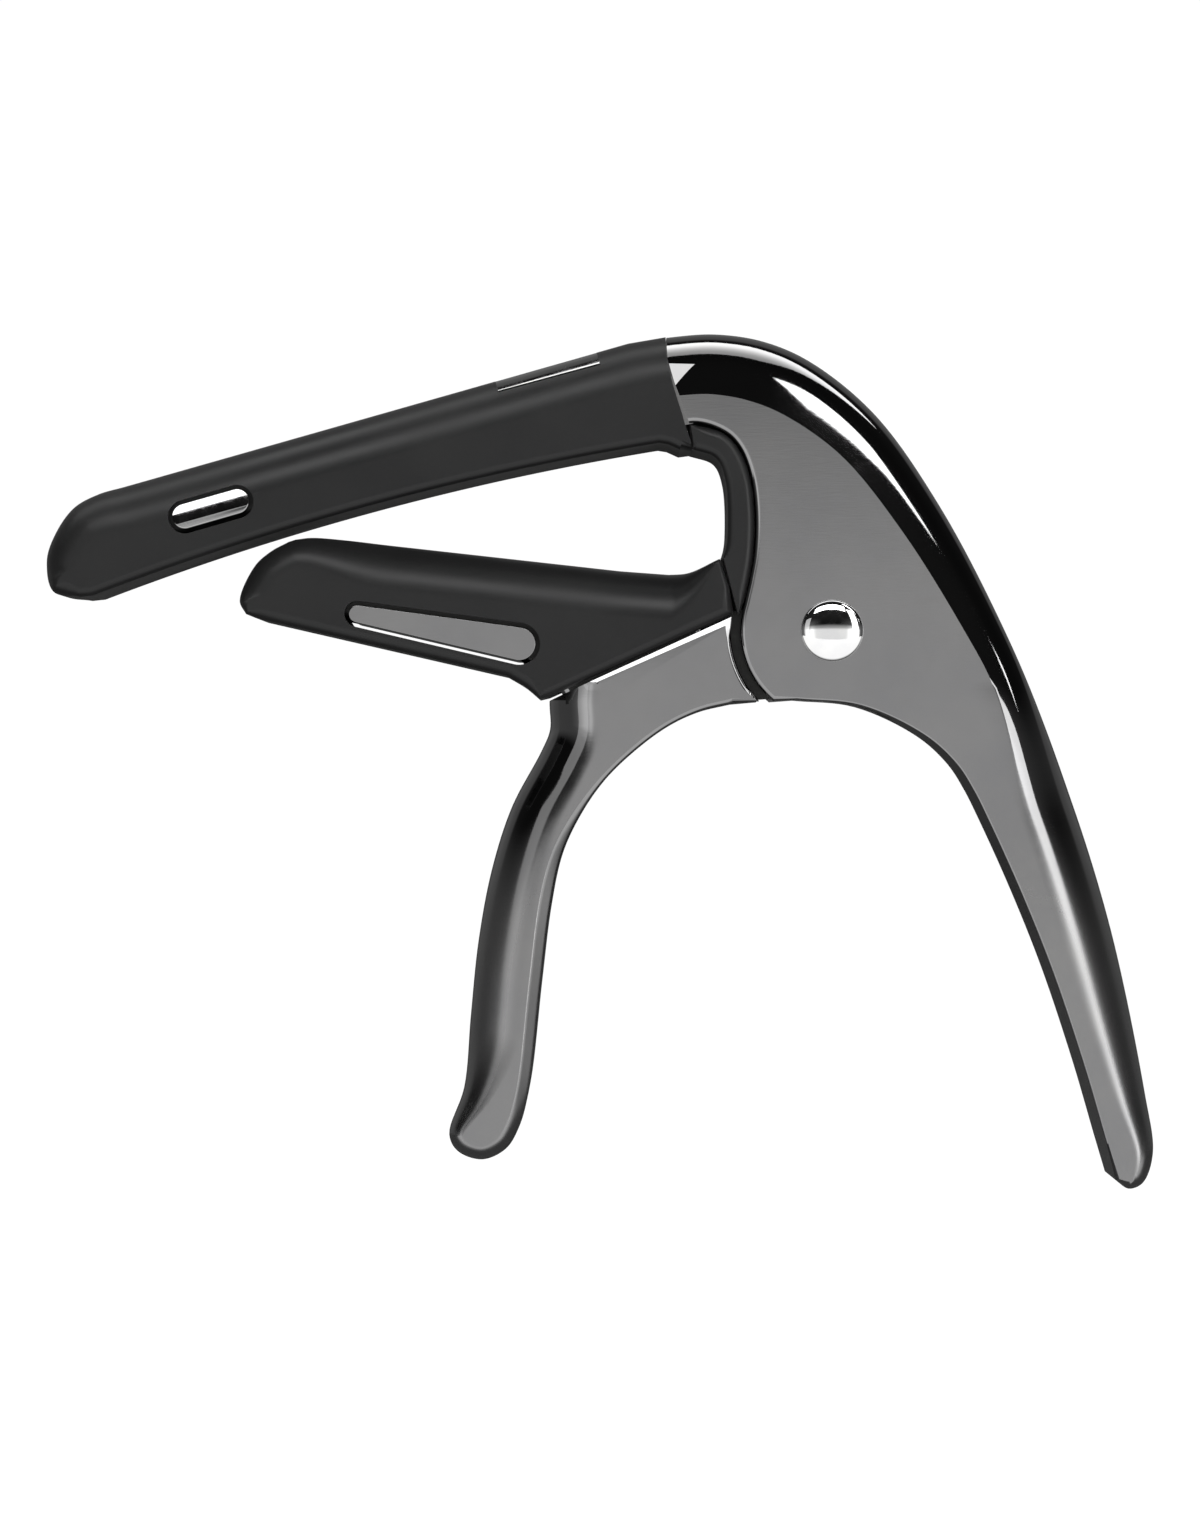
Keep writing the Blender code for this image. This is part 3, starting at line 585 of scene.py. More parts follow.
def frame_runs():
    """The casting's outline beyond the sleeve, clockwise from the top of the seam."""
    spine = catmull_rom(
        [
            (-18.2, 25.75), SLOPE_STARTS, (-10.2, 26.64), (-5.9, 26.0), (-1.7, 24.16), (3.98, 19.47),
            (9.65, 11.42), (15.31, 0.53), (20.97, -13.1), (25.2, -26.7), (28.05, -41.1), (28.65, -46.4),
            (27.7, -49.0), (26.4, -49.5), (25.2, -48.7),
        ],
        12,
    )
    inside = catmull_rom(
        [
            (24.3, -45.4), (22.4, -38.85), (19.56, -30.3), (16.73, -23.2), (13.89, -16.9),
            (12.48, -14.07), (11.0, -11.8), (8.23, -9.29), (2.57, -6.64), (-3.1, -6.05),
        ],
        8,
    )
    hub = arc(HUB_RADIUS, 230, 163, 28)
    throat = catmull_rom(
        [
            (-7.3, 4.3), (-6.85, 6.9), (-6.75, 10.53), (-7.15, 13.72), (-8.1, 16.2), (-9.45, 17.6),
            (-12.3, 18.45), (-15.9, 17.2),
        ],
        8,
    )
    return spine, inside, hub, throat


def sleeve_outline():
    """The upper sleeve, clockwise from the pad's throat end: the underside, the nose, the top and the lip."""
    underside = string_pad_arc()[::-1]
    nose = catmull_rom(
        [
            (-66.6, 3.0), (-69.05, 3.5), (-69.75, 6.2), (-69.1, 8.5), (-67.4, 11.0), (-65.2, 12.25),
            (-63.0, 12.9),
        ],
        8,
    )
    top = straight((-62.0, 13.18), (-18.0, 25.7), 24) + [(-18.0, 25.7), (-13.0, 26.55)]
    lip = [(-11.4, 16.02), (-13.45, 16.02), (-14.5, 16.5)]
    return underside, nose, top, lip


def jaw_outline():
    """The lower sleeve, clockwise from the throat end of its seam with the lever."""
    bottom = [(-25.04, -5.84)] + catmull_rom([(-25.9, -6.05), (-27.2, -4.96), (-28.8, -4.0)], 8)
    belly = straight((-29.6, -3.82), (-50.6, 1.0), 12) + [(-50.6, 1.0)]
    tip = catmull_rom([(-51.9, 1.5), (-52.5, 2.7), (-51.24, 5.75), (-49.8, 7.08), (-48.2, 7.95)], 8)
    land = catmull_rom([(-47.6, 8.15), (-46.2, 8.32), (-43.4, 8.15), (-39.0, 7.66)], 6)
    land += straight((-38.0, 7.55), (-18.7, 5.4), 20) + [(-18.7, 5.4)]
    rise = catmull_rom([(-14.4, 5.08), (-12.6, 5.2), (-9.95, 6.38)], 8)
    throat_side = [(-9.12, 3.9), (-8.72, 1.45)]
    return bottom, belly, tip, land, rise, throat_side


def lever_runs():
    """The lever's full-depth part, clockwise from the shoulder corner: saddle, handle and the hub. It runs on
    past the seam, which is cut straight afterwards."""
    grip = catmull_rom(
        [
            (-8.8, -6.42), (-11.6, -7.1), (-14.4, -8.4), (-17.3, -10.5), (-20.1, -13.2), (-22.3, -16.4),
            (-23.9, -19.9), (-24.9, -24.5), (-25.75, -31.3), (-26.8, -40.5), (-27.7, -44.0),
            (-28.9, -46.0), (-31.0, -46.95), (-33.2, -46.2), (-33.95, -44.7), (-32.65, -40.6),
            (-32.1, -34.4), (-31.4, -27.6), (-30.2, -21.2), (-28.4, -15.6), (-25.75, -10.6),
            (-25.0, -8.7), (-25.05, -6.15), (-24.6, -1.0),
        ],
        8,
    )
    hub = arc(SHOULDER_RADIUS, 150, 224, 37)
    return grip, hub


def lever_edge(place):
    """The lever's edge at this distance along its grip: bevelled inside, round at the tip and outside."""
    fine = round_edge(CHEEK_HALF, EDGE_ROUND)
    broad = chamfer_edge(CHEEK_HALF, GRIP_BEVEL, 1.0)
    tip = round_edge(CHEEK_HALF, *GRIP_TIP_ROUND)
    grip = round_edge(CHEEK_HALF, *GRIP_ROUND)
    inside = blend_profiles(fine, broad, ramp(place, 12, 26))
    end = blend_profiles(inside, tip, ramp(place, 42, 48))
    return blend_profiles(end, grip, ramp(place, 54, 64))


def arm_core_outline(gap, far_end):
    low, high = 2.1 - gap, 6.2 + gap
    return [
        from_pad(-25.5 - gap, low + 0.6),
        from_pad(-25.0 - gap, high - 1.2),
        from_pad(-23.8 - gap, high - 0.05),
        from_pad(far_end, high + 0.3),
        from_pad(far_end, low),
        from_pad(-24.6 - gap, low - 0.5),
    ]


def arm_core(name, gap, far_end):
    outline = arm_core_outline(gap, far_end)
    return slab(name, outline, [round_edge(CORE_HALF + gap, ARM_ROUND)] * len(outline))


def jaw_core(name, gap):
    outline = widened(
        [
            (-22.4, -8.0), (-24.3, -4.9), (-27.6, -2.6), (-46.2, 1.75), (-48.6, 2.1), (-49.3, 3.2),
            (-48.2, 5.2), (-46.4, 6.2), (-43.4, 6.2), (-18.7, 3.4), (-12.4, 2.8), (-11.2, 0.9),
            (-10.9, -2.6),
        ],
        gap,
    )
    return slab(name, outline, [round_edge(CORE_HALF + gap, BAR_ROUND)] * len(outline))


def oval_outline():
    return hull_of_circles(from_pad(-16.25, 3.3), 1.1, from_pad(-11.5, 3.38), 1.1)


def wedge_outline():
    return hull_of_circles((-42.0, 1.5), 0.75, (-27.7, -1.15), 1.45)


def crown_plan(half_length, half_width, corner):
    """A rounded rectangle in plan: (along the arm, across it) from the window's middle."""
    ends = [(half_length - corner, half_width - corner), (corner - half_length, half_width - corner)]
    ends += [(corner - half_length, corner - half_width), (half_length - corner, corner - half_width)]
    outline = []
    for quarter, centre in enumerate(ends):
        outline += arc(corner, 90 * quarter, 90 * quarter + 90, 10, centre)
    return outline


def pad_prism(name, plan, middle, low, high):
    """A prism that stands square to the string pad, from low to high above it."""
    rings = []
    for above in (low, high):
        feet = [(from_pad(middle + along, above), y) for along, y in plan]
        rings.append([(x, y, z) for (x, z), y in feet])
    return through_rings(name, rings)


def rivet_bore(name):
    radius = SHANK_RADIUS + BORE_CLEARANCE
    return turned(name, [(0, -BORE_REACH), (radius, -BORE_REACH), (radius, BORE_REACH), (0, BORE_REACH)])


# ---------------------------------------------------------------- pieces


SLOPE_DROPS = slope_drops()


def frame_casting():
    spine, inside, hub, throat = frame_runs()
    start = math.dist(spine[0], SLOPE_STARTS)
    places = [place - start for place in run_lengths(spine)]
    profiles = [spine_edge(max(0.0, place), places[-1]) for place in places]
    fine = round_edge(CHEEK_HALF, EDGE_ROUND)
    profiles += [round_edge(CHEEK_HALF, INNER_ROUND)] * len(inside)
    profiles += [fine] * (len(hub) + len(throat) - 1)
    profiles.append(square_edge(CHEEK_HALF))
    square = {0: unit(spine[0], throat[-1])}
    casting = slab("frame_casting", spine + inside + hub + throat, profiles, square)
    for side in (-1, 1):
        combine(casting, seam_facet(side), "UNION")
    beyond = CASTING_END + [(-12.35, 14.0), (-25.0, 14.0), (-25.0, 27.5)]
    combine(casting, plate("casting_end", beyond, *THROUGH), "DIFFERENCE")
    collar = [(-15.4, 25.7), (-14.0, 25.9), (-13.4, 22.0), (-12.0, 18.5), (-13.4, 18.2), (-14.8, 22.0)]
    combine(casting, plate("collar", collar, -COLLAR_HALF, COLLAR_HALF), "UNION")
    foot = [(-15.4, 22.6), (-13.6, 22.6), (-12.0, 18.5), (-13.4, 18.2)]
    combine(casting, plate("collar_foot", foot, -COLLAR_FOOT_HALF, COLLAR_FOOT_HALF), "UNION")
    combine(casting, arm_core("arm_form", 0.0, ARM_END), "UNION")
    upper = arc(POCKET_RADIUS, 166, 38, 36)
    lower = arc(POCKET_RADIUS, 15, -50, 20)
    mouth = [(4.0, -9.5), (-9.5, -9.5), (-9.5, 2.37)]
    combine(casting, plate("pocket", upper + lower + mouth, -CHEEK_INNER, CHEEK_INNER), "DIFFERENCE")
    end, floor, roof = FRAME_LEG + 0.8, COIL_RADIUS - WIRE_RADIUS - 0.5, COIL_RADIUS + WIRE_RADIUS + 0.15
    slot = [(5.0, floor), (5.0, roof), (end, roof), (end, floor)]
    combine(casting, plate("leg_slot", slot, *FRAME_SLOT_Y), "DIFFERENCE")
    combine(casting, rivet_bore("frame_bore"), "DIFFERENCE")
    return casting


def seam_facet(side):
    """The small flat triangle that ends the slope at the sleeve, as a wedge that reaches into the casting."""
    x, z = FACET_CORNER
    plan = [(x - 0.6, z), (x + 3.6, z), (x + 2.2, z - 3.4), (x - 0.6, z - 3.4)]
    deep = [(px, side * 2, pz) for px, pz in plan]
    heights = [FACET_Y - FACET_FALL[0] * (px - x) - FACET_FALL[1] * (pz - z) for px, pz in plan]
    face = [(px, side * y, pz) for (px, pz), y in zip(plan, heights)]
    return through_rings("seam_facet", [deep, face])


def seam_chamfer(side):
    """The wedge that bevels the lever's edge along the seam, with its cut fading out towards the handle."""
    (x0, z0), (x1, z1) = SEAM_LINE
    along = unit(*SEAM_LINE)
    up = (-along[1], along[0])
    inset, drop = SEAM_BEVEL
    slope = drop / inset
    inner, outer, above = -1.2, 0.6, CHEEK_HALF + 1.5
    section = [(inner, CHEEK_HALF - slope * (inner + inset)), (outer, CHEEK_HALF - slope * (outer + inset))]
    section += [(outer, above), (inner, above)]
    faded = (x0 + SEAM_FADE_FROM * along[0], z0 + SEAM_FADE_FROM * along[1], SEAM_FADE_LIFT)
    rings = []
    for x, z, lift in (faded, (x1, z1, 0.0)):
        rings.append([(x + up[0] * (w + lift), side * y, z + up[1] * (w + lift)) for w, y in section])
    return through_rings("seam_chamfer", rings)


def lever_casting():
    grip, hub = lever_runs()
    profiles = [lever_edge(place) for place in run_lengths(grip)]
    fine, bevel = round_edge(CHEEK_HALF, EDGE_ROUND), chamfer_edge(CHEEK_HALF, *SEAM_BEVEL)
    last = len(hub) - 1
    profiles += [
        blend_profiles(bevel, fine, min(ramp(i, 13, 18), ramp(last - i, 2, 6))) for i in range(len(hub))
    ]
    lever = slab("lever_casting", grip + hub, profiles)
    (x0, z0), (x1, z1) = SEAM_LINE
    above = [(x0, z0), (x0 - 6, z0 + 13), (x1 - 6, z1 + 13), (x1, z1)]
    for side in (-1, 1):
        combine(lever, seam_chamfer(side), "DIFFERENCE")
    combine(lever, plate("seam_cut", above, *THROUGH), "DIFFERENCE")
    combine(lever, jaw_core("jaw_form", 0.0), "UNION")
    round_part = arc(EAR_RADIUS, 150, -85, 48)
    neck = [(-2.0, -5.7), (-6.4, -6.0), (-9.6, -4.0), (-9.6, 1.75), (-7.4, 1.9)]
    combine(lever, plate("ears", round_part + neck, -EAR_OUTER, EAR_OUTER), "UNION")
    room = [(-8.3, -8.0), (-8.3, 3.0), (-6.0, 8.0), (8.0, 8.0), (8.0, -8.0)]
    combine(lever, plate("coil_room", room, -EAR_INNER, EAR_INNER), "DIFFERENCE")
    slot = [(-12.6, -2.9), (-12.6, -1.25), (-8.0, 1.0), (-7.5, 1.3), (-7.5, -2.9)]
    combine(lever, plate("lever_slot", slot, *LEVER_SLOT_Y), "DIFFERENCE")
    combine(lever, rivet_bore("lever_bore"), "DIFFERENCE")
    return lever


def crown_land():
    """The raised land on top of the arm that fills the sleeve's top window, with a flush rounded top."""
    outline = [from_pad(10.0, 1.5), from_pad(10.0, 7.91), from_pad(26.5, 8.14), from_pad(26.5, 1.5)]
    top = round_edge(SLEEVE_HALF - 0.05, SLEEVE_TOP_ROUND)
    square = square_edge(SLEEVE_HALF - 0.4)
    up = (math.sin(STRING_PAD_TILT), -math.cos(STRING_PAD_TILT))
    land = slab("crown_land", outline, [square, top, top, square], {1: up, 2: up})
    plan = crown_plan(CROWN_LENGTH / 2, CROWN_HALF_WIDTH, CROWN_CORNER)
    return combine(land, pad_prism("crown_form", plan, CROWN_PLACE, CROWN_FLOOR, CROWN_TOP), "INTERSECT")


def upper_sleeve():
    underside, nose, top, lip = sleeve_outline()
    outline = underside + nose + top + lip
    low = round_edge(SLEEVE_HALF, SLEEVE_LOW_ROUND)
    high = round_edge(SLEEVE_HALF, SLEEVE_TOP_ROUND)
    front = round_edge(SLEEVE_HALF, SLEEVE_NOSE_ROUND)
    count = len(nose)
    start = round(count * 6 / 19)
    profiles = [low] * len(underside)
    profiles += [blend_profiles(low, front, i / start) for i in range(start)]
    rest = count - start
    profiles += [blend_profiles(front, high, i / (rest - 1)) for i in range(rest)]
    profiles += [high] * len(top)
    profiles += [square_edge(SLEEVE_HALF)] + [low] * 2
    corner = len(underside) + len(nose) + len(top) - 1
    sleeve = slab("upper_sleeve_skin", outline, profiles, {corner: unit(top[-1], lip[0])})
    beyond = SLEEVE_END + [(-5.0, 15.0), (-5.0, 27.5)]
    combine(sleeve, plate("sleeve_end", beyond, *THROUGH), "DIFFERENCE")
    combine(sleeve, arm_core("sleeve_cavity", FIT_GAP, CAVITY_END), "DIFFERENCE")
    combine(sleeve, layered("oval_window", oval_outline(), window_layers(WINDOW_GAP)), "DIFFERENCE")
    plan = crown_plan(CROWN_LENGTH / 2 - CROWN_PRESS, CROWN_HALF_WIDTH, CROWN_CORNER)
    window = pad_prism("crown_window", plan, CROWN_PLACE, CROWN_FLOOR - CROWN_GAP, CROWN_TOP)
    combine(sleeve, window, "DIFFERENCE")
    return sleeve


def lower_sleeve():
    bottom, belly, tip, land, rise, throat_side = jaw_outline()
    outline = bottom + belly + tip + land + rise + throat_side
    low = round_edge(SLEEVE_HALF, JAW_LOW_ROUND)
    high = round_edge(SLEEVE_HALF, JAW_TOP_ROUND)
    end = round_edge(SLEEVE_HALF, JAW_END_ROUND)
    front = round_edge(SLEEVE_HALF, JAW_TIP_ROUND)
    profiles = [low] * (len(bottom) + len(belly))
    half = len(tip) // 2
    profiles += [blend_profiles(low, front, ramp(i, 0, half)) for i in range(len(tip))]
    profiles += [blend_profiles(front, high, ramp(x, -49.0, -39.0)) for x, z in land]
    profiles += [blend_profiles(high, end, ramp(i, 0, len(rise) - 1)) for i in range(len(rise))]
    profiles += [end, low]
    sleeve = slab("lower_sleeve_skin", outline, profiles)
    combine(sleeve, jaw_core("jaw_cavity", FIT_GAP), "DIFFERENCE")
    combine(sleeve, layered("wedge_window", wedge_outline(), window_layers(WINDOW_GAP)), "DIFFERENCE")
    return sleeve


def throat_strip():
    inner = catmull_rom(
        [(-9.75, 6.4), (-9.4, 7.5), (-9.25, 9.0), (-9.47, 13.45), (-10.27, 15.31), (-12.42, 16.1)],
        10,
    )
    outer = catmull_rom(
        [
            (-12.6, 18.35), (-9.56, 17.5), (-8.2, 16.05), (-7.24, 13.7), (-6.84, 10.5), (-6.94, 6.9),
            (-7.38, 4.2), (-7.8, 2.5), (-8.3, 1.4),
        ],
        10,
    )
    outline = inner + outer
    profiles = [round_edge(PAD_HALF, PAD_ROUND)] * len(outline)
    tips = {len(inner) - 1: 0.3, len(inner): 0.3, len(outline) - 1: 0.25, 0: 0.4}
    for index, radius in tips.items():
        profiles[index] = round_edge(PAD_HALF, radius)
    return slab("throat_strip", outline, profiles)


def oval_boss():
    """The arm's oval boss, crowned along its length with the crest below its middle."""
    boss = layered("oval_boss", oval_outline(), dome_layers(OVAL_CREST_Y, 0.12, 0.16))
    steps = 40
    section = []
    for i in range(steps + 1):
        above = OVAL_MIDDLE - OVAL_SPAN + 2 * OVAL_SPAN * i / steps
        drop = OVAL_CROWN - math.sqrt(OVAL_CROWN**2 - (above - OVAL_CREST) ** 2)
        section.append((above, drop - OVAL_CREST_Y))
    section += [(above, -y) for above, y in section[::-1]]
    rings = []
    for along in OVAL_ENDS:
        lean = OVAL_LEAN * (along - OVAL_PLACE)
        feet = [(from_pad(along, above + lean), y) for above, y in section]
        rings.append([(x, y, z) for (x, z), y in feet])
    return combine(boss, through_rings("oval_crown", rings), "INTERSECT")


def dome_section(side, steps=24):
    """A rivet head's (radius, y) points from its middle to its rim, with a small eased rim."""
    seat = CHEEK_HALF + RIVET_SEAT_GAP
    rise = RIVET_HEAD_RISE - RIVET_RIM
    points = []
    for i in range(steps + 1):
        t = math.pi / 2 * i / steps
        points.append((RIVET_HEAD_RADIUS * math.sin(t), side * (seat + RIVET_RIM + rise * math.cos(t))))
    points[0] = (0, points[0][1])
    points.append((RIVET_HEAD_RADIUS, side * (seat + 0.12)))
    points.append((RIVET_HEAD_RADIUS - 0.1, side * seat))
    return points


def rivet_head():
    seat = CHEEK_HALF + RIVET_SEAT_GAP
    end = seat + STEM_LENGTH
    shank = [(SHANK_RADIUS, -seat), (SHANK_RADIUS, CHEEK_HALF), (STEM_RADIUS, CHEEK_HALF), (STEM_RADIUS, end)]
    return turned("rivet", dome_section(-1) + shank + [(0, end)])


def rivet_cap():
    seat = CHEEK_HALF + RIVET_SEAT_GAP
    floor_y = seat + SOCKET_DEPTH
    socket = [(SOCKET_RADIUS, seat), (SOCKET_RADIUS, floor_y), (0, floor_y)]
    return turned("rivet_dome_cap", dome_section(1) + socket)


def spring():
    total = 2 * math.pi * COIL_TURNS + LEVER_LEG_ANGLE - FRAME_LEG_ANGLE
    count = COIL_STEPS
    half = COIL_PITCH * total / (4 * math.pi)
    coil = []
    for i in range(count + 1):
        turn = LEVER_LEG_ANGLE - total * i / count
        coil.append((COIL_RADIUS * math.cos(turn), half - 2 * half * i / count, COIL_RADIUS * math.sin(turn)))
    start, end = coil[0], coil[-1]
    back = (-math.sin(LEVER_LEG_ANGLE), math.cos(LEVER_LEG_ANGLE))
    legs_in = []
    for k in range(LEVER_LEG_STEPS, 0, -1):
        reach = LEVER_LEG * k / LEVER_LEG_STEPS
        legs_in.append((start[0] + back[0] * reach, start[1], start[2] + back[1] * reach))
    step = FRAME_LEG / FRAME_LEG_STEPS
    legs_out = [(end[0] + step * k, end[1], end[2]) for k in range(1, FRAME_LEG_STEPS + 1)]
    return tube("coil_spring", legs_in + coil + legs_out, WIRE_RADIUS), half


# ---------------------------------------------------------------- materials


class Nodes:
    """A short way to write a material's nodes."""

    def __init__(self, name):
        self.material = bpy.data.materials.new(name)
        self.material.use_nodes = True
        self.tree = self.material.node_tree
        self.shader = self.tree.nodes["Principled BSDF"]
        self.place = self.tree.nodes.new("ShaderNodeTexCoord").outputs["Object"]

    def link(self, source, target):
        self.tree.links.new(source, target)

    def set(self, **values):
        for key, value in values.items():
            self.shader.inputs[key.replace("_", " ")].default_value = value

    def noise(self, scale, detail=4.0, roughness=0.55, place=None):
        node = self.tree.nodes.new("ShaderNodeTexNoise")
        node.inputs["Scale"].default_value = scale
        node.inputs["Detail"].default_value = detail
        node.inputs["Roughness"].default_value = roughness
        self.link(place or self.place, node.inputs["Vector"])
        return node.outputs["Fac"]

    def stretched(self, scale):
        node = self.tree.nodes.new("ShaderNodeMapping")
        node.inputs["Scale"].default_value = scale
        self.link(self.place, node.inputs["Vector"])
        return node.outputs["Vector"]

    def axis(self, name):
        """One coordinate of the place on the object."""
        node = self.tree.nodes.new("ShaderNodeSeparateXYZ")
        self.link(self.place, node.inputs[0])
        return node.outputs[name]

    def math(self, operation, a, b=0.0, clamp=False):
        node = self.tree.nodes.new("ShaderNodeMath")
        node.operation = operation
        node.use_clamp = clamp
        for socket, value in zip(node.inputs, (a, b)):
            if isinstance(value, (int, float)):
                socket.default_value = value
            else:
                self.link(value, socket)
        return node.outputs[0]

    def remap(self, value, low, high, to_low, to_high):
        node = self.tree.nodes.new("ShaderNodeMapRange")
        node.interpolation_type = "SMOOTHSTEP"
        for name, number in (("From Min", low), ("From Max", high), ("To Min", to_low), ("To Max", to_high)):
            node.inputs[name].default_value = number
        self.link(value, node.inputs["Value"])
        return node.outputs["Result"]

    def colours(self, value, stops):
        node = self.tree.nodes.new("ShaderNodeValToRGB")
        ramp_stops = node.color_ramp.elements
        while len(ramp_stops) < len(stops):
            ramp_stops.new(0.5)
        for stop, (place, colour) in zip(ramp_stops, stops):
            stop.position = place
            stop.color = (*colour, 1)
        self.link(value, node.inputs["Fac"])
        return node.outputs["Color"]

    def tint(self, value, dark, pale, low=0.3, high=0.7):
        self.link(self.colours(value, [(low, dark), (high, pale)]), self.shader.inputs["Base Color"])

    def roughen(self, value, low, high):
        self.link(self.remap(value, 0.3, 0.7, low, high), self.shader.inputs["Roughness"])

    def surface(self, output):
        self.link(output, self.tree.nodes["Material Output"].inputs["Surface"])

    def glow(self, strength, colour=None):
        """Plain light in place of the shader."""
        node = self.tree.nodes.new("ShaderNodeEmission")
        node.inputs["Strength"].default_value = strength
        if colour is not None:
            self.link(colour, node.inputs["Color"])
        self.surface(node.outputs[0])

    def bump(self, height, strength, distance):
        node = self.tree.nodes.new("ShaderNodeBump")
        node.inputs["Strength"].default_value = strength
        node.inputs["Distance"].default_value = distance
        self.link(height, node.inputs["Height"])
        self.link(node.outputs["Normal"], self.shader.inputs["Normal"])

    def facing_side(self):
        """1 on the flat side faces and 0 on edges and slopes."""
        node = self.tree.nodes.new("ShaderNodeTexCoord")
        split = self.tree.nodes.new("ShaderNodeSeparateXYZ")
        self.link(node.outputs["Normal"], split.inputs[0])
        return self.remap(self.math("ABSOLUTE", split.outputs["Y"]), 0.93, 0.995, 0.0, 1.0)


def black_nickel():
    """Polished black plating, satin on the flat sides and duller down the handles."""
    m = Nodes("black_nickel")
    cloud = m.noise(120, 3)
    fine = m.noise(900, 5, 0.6)
    brushed = m.noise(600, 3, 0.6, m.stretched((1.0, 1.0, 9.0)))
    tone = m.math("ADD", m.math("MULTIPLY", cloud, 0.7), m.math("MULTIPLY", fine, 0.3))
    m.tint(tone, (0.275, 0.275, 0.28), (0.315, 0.312, 0.31))
    flat = m.facing_side()
    satin = m.math("MULTIPLY", flat, 0.08)
    grain = m.math("MULTIPLY", m.math("MULTIPLY", m.math("SUBTRACT", fine, 0.5), flat), 0.10)
    handled = m.remap(m.axis("Z"), -0.010, -0.032, 0.0, 0.22)
    grain = m.math("ADD", grain, handled)
    m.link(m.math("ADD", m.math("ADD", satin, 0.045), grain, clamp=True), m.shader.inputs["Roughness"])
    m.bump(brushed, 0.05, 0.00002)
    m.set(Metallic=1.0)
    return m.material


def painted_shade_metal():
    """Painted shade: a near-black, dull metal that stands in for the shade inside the sleeves and between the
    cheeks.
    """
    m = Nodes("painted_shade_metal")
    shade_mottle = m.noise(800, 4)
    # painted shade: the base colour is darkened to near black and mottled by noise
    m.tint(shade_mottle, (0.03, 0.03, 0.03), (0.06, 0.06, 0.058))
    m.roughen(shade_mottle, 0.35, 0.5)
    m.set(Metallic=0.8)
    return m.material


def bright_nickel():
    m = Nodes("bright_nickel")
    cloud = m.noise(500, 4)
    m.tint(cloud, (0.84, 0.84, 0.85), (0.93, 0.93, 0.92))
    m.roughen(m.noise(1800, 3), 0.03, 0.08)
    m.set(Metallic=1.0)
    return m.material


def boss_metal():
    """The castings' metal where it shows in a window, a little brighter for being protected."""
    m = Nodes("window_metal")
    cloud = m.noise(300, 4)
    m.tint(cloud, (0.36, 0.36, 0.365), (0.42, 0.42, 0.415))
    m.roughen(m.noise(900, 3), 0.06, 0.13)
    m.set(Metallic=1.0)
    return m.material


def silicone():
    m = Nodes("black_silicone")
    pores = m.noise(4200, 3, 0.6)
    smear = m.noise(90, 4)
    dust = m.noise(2600, 2, 0.7)
    tone = m.math("ADD", m.math("MULTIPLY", smear, 0.75), m.math("MULTIPLY", dust, 0.25))
    m.tint(tone, (0.016, 0.016, 0.0165), (0.022, 0.022, 0.022), high=0.72)
    m.roughen(smear, 0.36, 0.43)
    m.set(Specular_IOR_Level=0.42)
    m.bump(pores, 0.12, 0.00004)
    m.set(Metallic=0.0, IOR=1.45, Sheen_Weight=0.06, Sheen_Roughness=0.4)
    return m.material


def spring_steel():
    m = Nodes("spring_steel")
    drawn = m.noise(1500, 4, 0.6)
    m.tint(drawn, (0.42, 0.42, 0.43), (0.55, 0.55, 0.55))
    m.roughen(drawn, 0.2, 0.34)
    m.set(Metallic=1.0)
    return m.material


def nylon():
    m = Nodes("nylon")
    cloud = m.noise(700, 4)
    m.tint(cloud, (0.60, 0.59, 0.55), (0.72, 0.71, 0.67))
    m.roughen(cloud, 0.38, 0.5)
    m.set(Subsurface_Weight=0.15, Subsurface_Radius=(0.0006, 0.0006, 0.0005))
    return m.material


# ---------------------------------------------------------------- assembly


def finish(obj, material, body, nodes=()):
    """Shading, material, body and material slot of a piece, and the CAD nodes that it stands for."""
    obj.data.materials.clear()
    obj.data.materials.append(material)
    obj.data.shade_smooth()
    obj.data.set_sharp_from_angle(angle=SHARP_ANGLE)
    weighted = obj.modifiers.new("even shading", "WEIGHTED_NORMAL")
    weighted.keep_sharp = True
    weighted.weight = 90
    if nodes:
        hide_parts(*nodes)
    if body:
        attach(obj, body)


# Corners (x, z) that the metal inside the sleeves and at the lever's tip lies left of and above, where the
# painted shade goes
SLEEVE_REGION = (-16.0, -6.5)
TIP_REGION = (-30.0, -4.0)
PLATE_REACH = 9.8
SIDE_TOLERANCE = 0.02


def in_recesses(casting, material):
    """The second material, a painted shade, on the bars inside the sleeves and on the plates between the
    cheeks.
    """
    casting.data.materials.append(material)
    for polygon in casting.data.polygons:
        x, y, z = [c / MM for c in polygon.center]
        in_sleeve = x < SLEEVE_REGION[0] and z > SLEEVE_REGION[1]
        bar_side = in_sleeve and abs(abs(y) - CORE_HALF) < SIDE_TOLERANCE
        bar_end = x < TIP_REGION[0] and z > TIP_REGION[1] and abs(y) < CORE_HALF
        plate_side = abs(y) < EAR_OUTER + 0.1 and math.hypot(x, z) < PLATE_REACH
        if bar_side or bar_end or plate_side:
            polygon.material_index = 1


